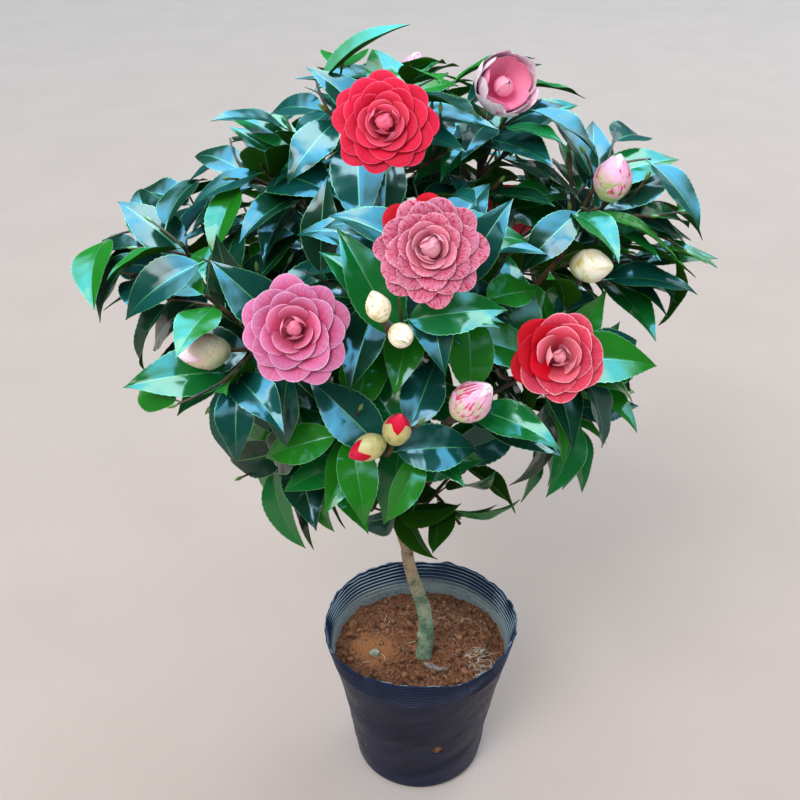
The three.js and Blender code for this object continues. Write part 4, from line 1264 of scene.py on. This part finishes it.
def open_bloom(flower, number):
    work = Patchwork()
    draw = seeded(9000 + number)
    first_turn = 2 * math.pi * draw()
    add_heart(work, flower, draw)
    count, broad, reach = PETALS[flower.kind]
    for k in range(3 + HEARTS[flower.kind][1] // 2, count):
        q = (k + 0.5) / count
        turn = first_turn + k * GOLDEN_ANGLE + 0.2 * (draw() - 0.5)
        curve = tile_curve(flower.radius * reach, q, draw)
        flat = clamp((q - 0.05) / 0.5)
        half = broad * flower.radius * lerp(0.23, 0.43, min(1, q / 0.7)) * lerp(0.93, 1.07, draw())
        pointed = 0.08 if flower.kind == "bicolour" and 0.1 < q < 0.6 else 0.0
        add_petal(work, flower, turn, curve, half, (1.2, 4.0), draw, ripple=lerp(0.5, 1.1, q),
                  round_end=0.56, point=pointed, cup=lerp(0.8, 3.0, flat), flat=flat,
                  lean=2.4 * (draw() - 0.5), red=redness(flower.kind, turn, q),
                  heart=0.9 * (1 - q))
    add_sepals(work, flower, draw, reach=12, height=-12)
    return work


print("petals in each open bloom:", {kind: row[0] for kind, row in PETALS.items()})

# %% [markdown]
# ## The half-open bloom and the flower buds
# A half-open bloom is a cup of upright petals round a bowl with a pointed middle. A flower bud
# is an egg of scales that wrap right round its axis: small green ones at its foot, larger ones
# above, and the petals' colour at its nose.

# %% Half-open bloom and flower buds
BOWL_PETALS = 5
CUP_TIERS = [  # petals, foot, then bend and tip by the bloom's radius, half-width, heart's colour
    (6, (3.0, -15.5), (1.2, -12.0), (0.99, 13.5), 0.6, 0.0),
    (6, (2.5, -14.0), (1.15, -9.0), (0.86, 14.5), 0.56, 0.0),
    (5, (2.0, -12.0), (1.05, -5.0), (0.74, 12.5), 0.66, 0.86),
]
BUD_SCALES = [  # how many, how far up the bud they end, half-width by the bud's radius, layer
    (3, 1.0, 1.15, 0), (4, 0.93, 0.95, 1), (4, 0.72, 0.85, 2), (4, 0.46, 0.72, 3),
    (3, 0.24, 0.55, 3.6),
]
STREAK_CRIMSON, SCALE_BROWN = (0.62, 0.025, 0.12), (0.34, 0.17, 0.07)
BUD_KINDS = {  # its petals, a scale's foot, pale and nose colours, how streaked, how far closed
    "pink": ("blush", (0.4, 0.48, 0.16), (0.66, 0.68, 0.42), (0.88, 0.46, 0.68), 0.9, 1),
    "cream": ("cream", (0.6, 0.5, 0.16), (0.86, 0.72, 0.37), (1.0, 0.93, 0.78), 0, 1),
    "green_pink": ("blush", (0.5, 0.47, 0.26), (0.72, 0.66, 0.46), (0.74, 0.58, 0.46), 0, 0.86),
    "green_red": ("red", (0.34, 0.36, 0.1), (0.58, 0.54, 0.26), (0.56, 0.46, 0.2), 0, 0.78),
}


def cup_bloom(flower, number):
    work = Patchwork()
    draw = seeded(9500 + number)
    size = flower.radius
    for tier, (count, start, bend, end, wide, inner) in enumerate(CUP_TIERS):
        for k in range(count):
            turn = 2 * math.pi * (k + 0.5 * tier) / count + 0.3 * (draw() - 0.5)
            tip = (size * end[0] * lerp(0.95, 1.03, draw()), end[1] + 2.5 * (draw() - 0.5))
            curve = bezier(start, (size * bend[0], bend[1]), tip)
            add_petal(work, flower, turn, curve, size * wide, (0.98, 1.0), draw, ripple=1.7,
                      lean=2.0 * (draw() - 0.5), heart=inner)
    for k in range(BOWL_PETALS):
        curve = bezier((1.5, -8.0), (13.0 + 0.4 * k, -3.0), (0.6, 9.5 + 0.3 * k))
        add_petal(work, flower, k * GOLDEN_ANGLE, curve, 9.0, (1, 0.6), draw, ripple=0.1,
                  heart=0.8,
                  outline=lambda along: np.sin(np.pi * np.clip(0.12 + 0.8 * along, 0, 1)))
    add_sepals(work, flower, draw, reach=11, height=-13)
    return work


def egg(flower, layer, end):
    """The outline of a bud from its foot up to a share of its length."""
    def curve(along):
        share = end * along
        girth = np.sin(np.pi * np.clip(0.07 + 0.93 * share, 0, 1)) ** 0.62
        nose = np.clip((share - 0.45) / 0.55, 0, 1) ** 1.6
        radius = flower.radius * girth * (1 - 0.22 * nose) * (0.9 + 0.035 * layer)
        return radius, flower.length * (share - 0.5)

    return curve


def flower_bud(flower, number):
    work = Patchwork()
    draw = seeded(9900 + number)
    for count, end, wide, layer in BUD_SCALES:
        closed = BUD_KINDS[flower.kind][-1] if layer >= 1 else 1.0
        for k in range(count):
            turn = 2 * math.pi * (k + 0.37 * layer) / count + 0.3 * draw()
            curve = egg(flower, layer + 0.4 * (k % 2), end * lerp(closed, 1.0, 0.5 * draw()))
            add_petal(work, flower, turn, curve, flower.radius * wide, (0.98, 0.25), draw,
                      look=int(layer >= 1), ripple=0.12,
                      outline=lambda along: np.sin(np.pi * (0.14 + 0.78 * along)) ** 0.7)
    return work


def scale_finish(name, foot, pale, nose, streaked):
    """Scales are green or cream, tinted and streaked towards the nose of the bud, with brown
    marks near their margins."""
    def build(wire):
        along, tone = wire.kept("along"), wire.kept("tone")
        veins, mottle = wire.streaks(9.0, 2.5, 70.0, 4), wire.grain(210, 4)
        base = (tone * 0.3 + mottle * 0.9).between(0.35, 0.85).blend(foot, pale)
        colour = (along + (mottle - 0.5) * 0.7).between(0.4, 0.85).blend(base, nose)
        marks = (veins + tone * 0.12).between(0.6, 0.68) * along.between(0.25, 0.6)
        colour = (marks * streaked).blend(colour, STREAK_CRIMSON)
        brown = (wire.kept("rim") * 0.3 + mottle).between(0.86, 1.02)
        return {"Base Color": (brown * 0.7).blend(colour, SCALE_BROWN),
                "Normal": wire.bump(veins + mottle, 0.3, 0.001)}

    return finish("scales_" + name, build, Roughness=0.42, Specular_IOR_Level=0.25,
                  Sheen_Weight=0.05)


scale_finishes = {name: scale_finish(name, *row[1:5]) for name, row in BUD_KINDS.items()}
for number, flower in enumerate(BLOOMS):
    work = (open_bloom if flower.form == "open" else cup_bloom)(flower, number)
    looks = [petal_finishes[flower.kind], sepal_finish]
    work.make("bloom_" + flower.mass, looks, "petals", sharp=75)
for number, flower in enumerate(BUDS):
    looks = [petal_finishes[BUD_KINDS[flower.kind][0]], scale_finishes[flower.kind]]
    flower_bud(flower, number).make(f"bud_{flower.mass}_{number}", looks, "buds", sharp=75)
print(len(BLOOMS), "blooms and", len(BUDS), "flower buds")

# %% [markdown]
# ## The nursery pot
# A soft pot: a cone that narrows downwards, with a rounded foot, a rim that has gone wavy with
# handling, fine ribs near its mouth and slack diagonal creases in its side. Its wall follows
# the frame's own outline, and ribs and creases are added to that as real shape.

# %% Nursery pot
POT_HEIGHT, POT_BASE_RADIUS, POT_RIM_RADIUS, MIDWAY_RADIUS = 182, 68, 100, 90
POT_FOOT_ROUNDING, POT_WAIST, POT_WALL = 7, 2.4, 1.2
RIB_PITCH, RIB_HEIGHT, RIBS_FROM = 4.1, 0.6, 150
RIB_PHASE = 2 * math.pi * (RIBS_FROM / RIB_PITCH % 1)
POT_TURNS = 240
POT_LEVELS = (0, 7, 5), (10, 146, 62), (147, 182, 62)  # from, to and how many rings


def slack(turn, height):
    """Ribs, creases and crumples of the soft wall, as millimetres outwards."""
    wall = on_circle(MIDWAY_RADIUS, turn, height)
    slanting = on_circle(MIDWAY_RADIUS, turn, (height - 26 * turn) * 3.2)
    ribs = RIB_HEIGHT * np.sin(2 * np.pi * (height - RIBS_FROM) / RIB_PITCH)
    ribs = ribs * np.clip((height - RIBS_FROM + 3) / 5, 0, 1) * (0.75 + 0.4 * lumps(wall, 30, 3))
    creases = 1.15 * lumps(slanting, 46, 8) * np.clip(height / 25, 0, 1)
    creases = creases * np.clip((POT_HEIGHT - height) / 50, 0.15, 1)
    creases = creases * (0.5 + 0.5 * lumps(wall, 60, 4))
    dents = 0.9 * lumps(wall, 38, 6) * np.clip(height / 30, 0, 1)
    crumple = 1.3 * lumps(wall * (1.6, 1.6, 0.7), 9, 9) * np.clip((height - 162) / 20, 0, 1) ** 2
    return ribs + creases + dents + crumple


def pot_skin(turn, height, inset):
    """The radius and level of the pot's side at this height, a little way into its wall."""
    height = np.full_like(turn, height)
    share = height / POT_HEIGHT
    wave = share**3 * (1.6 * np.sin(2 * turn + 0.6) + 0.9 * np.sin(5 * turn + 1.9))
    rim_lift = share**6 * (1.8 * np.sin(3 * turn + 0.8) + 1.1 * np.sin(7 * turn))
    foot_in = np.maximum(0, POT_FOOT_ROUNDING - height)
    rounding = POT_FOOT_ROUNDING - np.sqrt(POT_FOOT_ROUNDING**2 - foot_in**2)
    radius = (lerp(POT_BASE_RADIUS, POT_RIM_RADIUS, share) - 0.6 * rounding
              - POT_WAIST * np.sin(np.pi * share) + wave - inset)
    return radius + slack(turn, height), height + rim_lift


def pot_ring(height, inset):
    turn = turns_of(POT_TURNS)
    radius, level = pot_skin(turn, height, inset)
    notches = 2.2 * lumps(on_circle(60, turn, 0), 7, 21) * np.clip((height - 172) / 10, 0, 1) ** 2
    return on_circle(radius, turn, level + notches)


heights = np.concatenate([np.linspace(*levels) for levels in POT_LEVELS])
outer = [pot_ring(h, 0) for h in heights]
inner = [pot_ring(h, POT_WALL) for h in heights[::-1] if h > 2.5]
inner.append(pot_ring(3, POT_WALL) * (1, 1, 0) + (0, 0, POT_WALL))
pot_work = Patchwork()
pot_work.add(outer + inner, ring_faces(len(outer + inner), POT_TURNS),
             inside=np.repeat([0.0] * len(outer) + [1.0] * len(inner), POT_TURNS))


def pot_look(wire):
    height, inside = wire.height(), wire.kept("inside")
    cloud, speck = wire.grain(26, 5), wire.grain(230, 4)
    colour = (cloud + speck * 0.3).between(0.45, 0.85).blend((0.004, 0.005, 0.014),
                                                           (0.01, 0.011, 0.027))
    ribs = wire.math("SINE", height * (2 * math.pi / (RIB_PITCH * MM)) - RIB_PHASE)
    # The rib crests are painted highlights: pale lines along the ribs, outside and inside the
    # mouth.
    rib_crest_highlight = ribs.between(0.5, 0.95) * height.between(0.149, 0.152)
    slanting = wire.grain(1.0, 3, wire.stretched((9.0, 9.0, 85.0)))
    # The blue band at the rim and the foot is a painted bluish sheen, and the pale slanting
    # streaks low on the body are painted highlights.
    for share, tint in (  # blue at rim and foot, streaks, rib crests outside and in, dust, scuffs
        ((height.between(0.14, 0.168) + height.between(0.045, 0.004)) * 0.6,
         (0.005, 0.012, 0.038)),
        (slanting.between(0.52, 0.78) * height.between(0.16, 0.13) * 0.5,
         (0.024, 0.027, 0.052)),
        (rib_crest_highlight * (cloud + speck * 0.5).between(0.72, 0.95) * 0.4, (0.11, 0.17, 0.26)),
        (rib_crest_highlight * inside * (cloud + speck * 0.7).between(0.35, 0.85), (0.31, 0.43, 0.5)),
        (inside * height.between(0.164, 0.151) * (speck + cloud * 0.6).between(0.35, 0.8) * 0.85,
         (0.25, 0.3, 0.31)),
        ((speck + cloud * 0.4).between(0.9, 0.98) * height.between(0.005, 0.03) * 0.3,
         (0.15, 0.15, 0.15)),
    ):
        colour = share.blend(colour, tint)
    rough = (cloud + speck).between(0.6, 1.4) * 0.22 + 0.3
    return {"Base Color": colour, "Roughness": rough + inside * 0.15,
            "Normal": wire.bump(speck + wire.grain(60, 3) * 0.6, 0.35, 0.0009)}


pot_finish = finish("pot_plastic", pot_look, Specular_IOR_Level=0.2,
                    Specular_Tint=(0.75, 0.82, 1.0))
pot = pot_work.make("pot", [pot_finish], "pot_plastic", sharp=60)
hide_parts("nursery_pot")
print("pot faces before its holes:", len(pot.data.polygons))

# %% [markdown]
# ## Drain holes
# Four round holes are punched low in the side. A Boolean modifier cuts them with rough discs,
# and its result is kept as the pot's own mesh, so nothing stays unfinished.

# %% Drain holes
DRAIN_HOLES, DRAIN_HOLE_RADIUS, DRAIN_HOLE_HEIGHT, FIRST_DRAIN_HOLE_TURN = 4, 6, 69, -76.5

punch_work = Patchwork()
for k in range(DRAIN_HOLES):
    turn = math.radians(FIRST_DRAIN_HOLE_TURN) + 2 * math.pi * k / DRAIN_HOLES
    out_way = v(math.cos(turn), math.sin(turn), 0)
    ends = [station(out_way * r + UP * DRAIN_HOLE_HEIGHT, out_way, DRAIN_HOLE_RADIUS)
            for r in (POT_BASE_RADIUS, POT_RIM_RADIUS)]
    points, faces = tube(ends, 22)
    punch_work.add(points + 0.5 * lumps(points, 3.0, 30 + k)[:, None], faces)
punch = punch_work.make("punch", [], "pot_plastic")
cut = pot.modifiers.new("holes", "BOOLEAN")
cut.operation, cut.solver, cut.object = "DIFFERENCE", "EXACT", punch
whole = pot.evaluated_get(bpy.context.evaluated_depsgraph_get())
pot.data = bpy.data.meshes.new_from_object(whole)
pot.modifiers.clear()
bpy.data.objects.remove(punch)
print("pot faces:", len(pot.data.polygons))

# %% [markdown]
# ## Soil
# Red-brown potting soil: a rough bed with pits and heaps that fills the pot, and over it loose
# crumbs, a pale stone, a sliver of wood and some fine pale roots.

# %% Soil bed
SOIL_RINGS, SOIL_TURNS = 120, 360
SOIL_SIDE_HEIGHTS = (3, 7, 40, 75, 110, 130, 141)
SOIL_INSET = POT_WALL + 0.7
SMOOTH_PATCH, SMOOTH_PATCH_RADIUS = v(-48, -2, 0), 26


def soil_height(points):
    """How far the top of the soil stands above its level at these points, in millimetres."""
    flat = points * (1, 1, 0)
    away = np.linalg.norm(flat, axis=-1) / 88
    patch = np.exp(-(((flat - SMOOTH_PATCH) / SMOOTH_PATCH_RADIUS) ** 2).sum(-1))
    heaps = 2.2 * lumps(flat, 34, 40) + 1.9 * lumps(flat, 12, 41)
    crumbs = 1.9 * rough_lumps(flat, 6.5, 4, 42) * (1 - 0.7 * patch)
    round_trunk = 2.0 * np.exp(-(((flat - TRUNK_PATH[0] * (1, 1, 0)) / 16) ** 2).sum(-1))
    return heaps + crumbs + round_trunk - 1.5 - 2.5 * np.clip(away - 0.8, 0, 1) * 5


turn = turns_of(SOIL_TURNS)
rings = []
for height in SOIL_SIDE_HEIGHTS:
    radius, level = pot_skin(turn, height, SOIL_INSET)
    rings.append(on_circle(radius, turn, level))
rings[0] = rings[0] * (1, 1, 0) + (0, 0, POT_WALL + GAP)
edge, _ = pot_skin(turn, SOIL_LEVEL, SOIL_INSET)
for share in np.linspace(1, 0.004, SOIL_RINGS):
    ring = on_circle(edge * share, turn, 0)
    rings.append(ring + UP * (SOIL_LEVEL + soil_height(ring))[:, None])
bed_work = Patchwork()
bed_work.add(rings, ring_faces(len(rings), SOIL_TURNS))


def soil_look(wire):
    fine, coarse, tiny = wire.grain(320, 6, roughness=0.7), wire.grain(45, 3), wire.grain(1100, 3)
    colour = (fine + tiny * 0.3).between(0.45, 0.85).blend((0.045, 0.016, 0.008),
                                                         (0.33, 0.14, 0.07))
    clay = wire.node("VectorMath", {0: wire.where(), 1: (-0.048, -0.002, 0.147)}, out=1,
                     operation="DISTANCE")
    for share, tint in (  # the smooth patch of clay, dry places, pale specks
        ((clay + coarse * 0.02).between(0.042, 0.02) * 0.75, (0.4, 0.165, 0.065)),
        (coarse.between(0.55, 0.72) * fine.between(0.45, 0.6) * 0.5, (0.42, 0.25, 0.15)),
        (tiny.between(0.7, 0.74) * 0.6, (0.45, 0.36, 0.28)),
    ):
        colour = share.blend(colour, tint)
    return {"Base Color": colour, "Normal": wire.bump(fine + tiny * 0.5, 0.8, 0.002)}


soil_finish = finish("potting_soil", soil_look, Roughness=0.95, Specular_IOR_Level=0.15)
bed = bed_work.make("soil_bed", [soil_finish], "soil")
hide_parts("soil")
print("soil faces:", len(bed.data.polygons))

# %% [markdown]
# Crumbs are small rough balls, each squeezed its own way and sunk into the bed by about half.
# Roots are thin curling tubes that lie on it. They are gathered in one mesh each.

# %% Crumbs, stone, sliver and fine roots
CRUMBS, CRUMB_SIZES, PALE_SHARE = 900, (0.7, 4.0), 0.03
FINE_ROOTS, ROOTS_ON_THE_RIGHT = 70, 0.75
STONE_AT, STONE_SIZE = (-48, -13), (5.6, 5.0, 4.2)


def ball(sides, rows):
    """Points and faces of a ball, in rings from its lower end to its upper end."""
    rise = np.pi * (np.arange(rows) + 0.5) / rows
    ring = on_circle(1, turns_of(sides), 0)
    points = np.sin(rise)[:, None, None] * ring - np.cos(rise)[:, None, None] * UP
    return points.reshape(-1, 3), ring_faces(rows, sides)


def on_soil(x, y):
    return v(x, y, SOIL_LEVEL + float(soil_height(v(x, y, 0)[None])[0]))


crumb, crumb_faces = ball(8, 5)
draw = seeded(4242)
crumb_work = Patchwork()
for n in range(CRUMBS):
    far, turn = 84 * math.sqrt(draw()), 2 * math.pi * draw()
    at = v(far * math.cos(turn), far * math.sin(turn), 0)
    in_patch = span_of(at - SMOOTH_PATCH) < SMOOTH_PATCH_RADIUS
    size = lerp(*CRUMB_SIZES, draw() ** 3.6) * (0.5 if in_patch else 1)
    squeeze = v(lerp(0.7, 1.3, draw()), lerp(0.7, 1.3, draw()), lerp(0.55, 1.0, draw()))
    shape = crumb * squeeze * (1 + 0.35 * lumps(crumb * 2 + n, 1.0, 50))[:, None]
    look = int(size < 1.6 and draw() < PALE_SHARE)
    crumb_work.add(shape * size + on_soil(*at[:2]) + UP * 0.25 * size, crumb_faces, look)
stone_finish = mottled("pale_stone", (400, 4, 0.4, 0.6), (0.19, 0.2, 0.14), (0.4, 0.41, 0.32),
                       (1200, 3, 0.4, 0.0008), Roughness=0.7, Specular_IOR_Level=0.3)
crumb_finish = mottled("soil_crumbs", (130, 2, 0.35, 0.65), (0.08, 0.03, 0.015),
                       (0.34, 0.16, 0.085), (900, 4, 0.8, 0.0015), Roughness=0.95,
                       Specular_IOR_Level=0.15)
crumb_work.make("soil_crumbs", [crumb_finish, stone_finish], "soil")

stone, stone_faces = ball(16, 10)
stone_work = Patchwork()
shape = stone * STONE_SIZE * (1 + 0.13 * lumps(stone * 2, 1.0, 61))[:, None]
stone_work.add(shape + on_soil(*STONE_AT) + UP * 2.0, stone_faces)
stone_work.make("pale_stone", [stone_finish], "soil")


def wood_look(wire):
    lines = wire.grain(900, 4, wire.stretched((0.25, 1.0, 1.0)))
    colour = lines.between(0.35, 0.65).blend((0.1, 0.075, 0.062), (0.3, 0.245, 0.215))
    return {"Base Color": colour, "Normal": wire.bump(lines, 0.6, 0.001)}


sliver = [station(on_soil(16 + 24 * (s - 0.5), -36 - 6 * (s - 0.5)) + UP * 3.0,
                  unit(v(24, -6, 0)), lerp(1.2, 3.3, math.sin(math.pi * min(1, s + 0.08))))
          for s in np.linspace(0, 1, 9)]
points, faces = tube(sliver, 9)
sliver_work = Patchwork()
sliver_work.add(points + 0.35 * lumps(points * (0.4, 1, 1), 1.6, 71)[:, None] * UP, faces)
old_wood = finish("old_wood", wood_look, Roughness=0.85)
sliver_work.make("wood_sliver", [old_wood], "bough_bark", sharp=50)

root_work = Patchwork()
for n in range(FINE_ROOTS):
    on_the_right = n < FINE_ROOTS * ROOTS_ON_THE_RIGHT
    x = lerp(*((50, 76) if on_the_right else (-60, 60)), draw())
    y = lerp(*((-46, -4) if on_the_right else (-70, 60)), draw())
    way = 2 * math.pi * draw()
    length, curl = lerp(5, 19, draw()), 2.0 * (draw() - 0.5)
    path = []
    for s in np.linspace(0, 1, 8):
        runs = v(math.cos(way + curl * s * 2), math.sin(way + curl * s * 2), 0)
        at = on_soil(x + length * s * runs[0], y + length * s * runs[1])
        path.append(station(at + UP * (0.5 + 1.6 * math.sin(math.pi * s)), runs,
                            lerp(0.42, 0.16, s)))
    root_work.add(*tube(path, 4))
root_finish = mottled("fine_roots", (300, 2, 0.4, 0.6), (0.46, 0.38, 0.28), (0.74, 0.68, 0.58),
                      Roughness=0.8)
root_work.make("fine_roots", [root_finish], "soil")
print(CRUMBS, "crumbs and", FINE_ROOTS, "fine roots")

# %% [markdown]
# ## Floor and light
# The plant stands on a plain pale floor. Glossy leaves show what is above them, so the world is
# a soft white that turns to the blue of open sky for reflections only. One large soft lamp from
# the front and above gives shape, and a weaker one fills from behind.

# %% Floor
FLOOR_HALF = 9.0  # metres

floor_mesh = bpy.data.meshes.new("floor")
corners = [(x * FLOOR_HALF, y * FLOOR_HALF, 0) for x, y in ((-1, -1), (1, -1), (1, 1), (-1, 1))]
floor_mesh.from_pydata(corners, [], [(0, 1, 2, 3)])
floor_mesh.materials.append(mottled("pale_floor", (5, 3, 0.3, 0.7), (0.53, 0.458, 0.424),
                                    (0.552, 0.478, 0.444), Roughness=0.9,
                                    Specular_IOR_Level=0.1))
floor = put("floor", floor_mesh)
print("floor", 2 * FLOOR_HALF, "m wide")

# %% Light
SKY_BLUE, SKY_TOP, SKY_HORIZON = (0.13, 0.56, 1.0), (0.6, 0.9, 1.0), (0.3, 0.45, 0.5)
SOFT_WHITE = (0.93, 0.97, 1.0)
SKY_GLOW, SKY_FLOOR_GLOW, SOFT_GLOW = 25.0, 0.12, 0.85
MIDDLE = (0, 0, 0.45)


def sky(tree):
    """Soft white for all light but reflections, which see a sky that is blue overhead."""
    tree.nodes.clear()
    wire = Wire(tree)
    height = wire.node("SeparateXYZ", {0: wire.node("TexCoord")}, out=2)
    overhead = height.between(0.5, 0.9)
    blue = height.between(0.86, 0.99).blend(overhead.blend(SKY_HORIZON, SKY_BLUE), SKY_TOP)
    mirrored = wire.node("LightPath", out=3)
    glow = mirrored * (overhead * SKY_GLOW + SKY_FLOOR_GLOW) + (1 - mirrored) * SOFT_GLOW
    light = {"Color": mirrored.blend(SOFT_WHITE, blue), "Strength": glow}
    output = tree.nodes.new("ShaderNodeOutputWorld")
    tree.links.new(wire.node("Background", light).socket, output.inputs["Surface"])


def soft_lamp(name, at, size, power, colour):
    data = bpy.data.lights.new(name, "AREA")
    data.shape, data.size, data.energy, data.color = "DISK", size, power, colour
    towards = np.array(MIDDLE) - np.array(at)
    yaw = math.atan2(towards[1], towards[0]) - math.pi / 2
    put(name, data, at, (math.acos(-towards[2] / span_of(towards)), 0, yaw))


world = bpy.data.worlds.new("sky")
world.use_nodes = True
sky(world.node_tree)
bpy.context.scene.world = world
soft_lamp("key", (-2.0, -3.6, 4.9), 2.9, 215, (1.0, 0.96, 0.91))
soft_lamp("fill", (2.6, 3.0, 3.6), 3.2, 60, (0.92, 0.96, 1.0))
bpy.context.scene.view_settings.view_transform = "Standard"
print("lights placed")
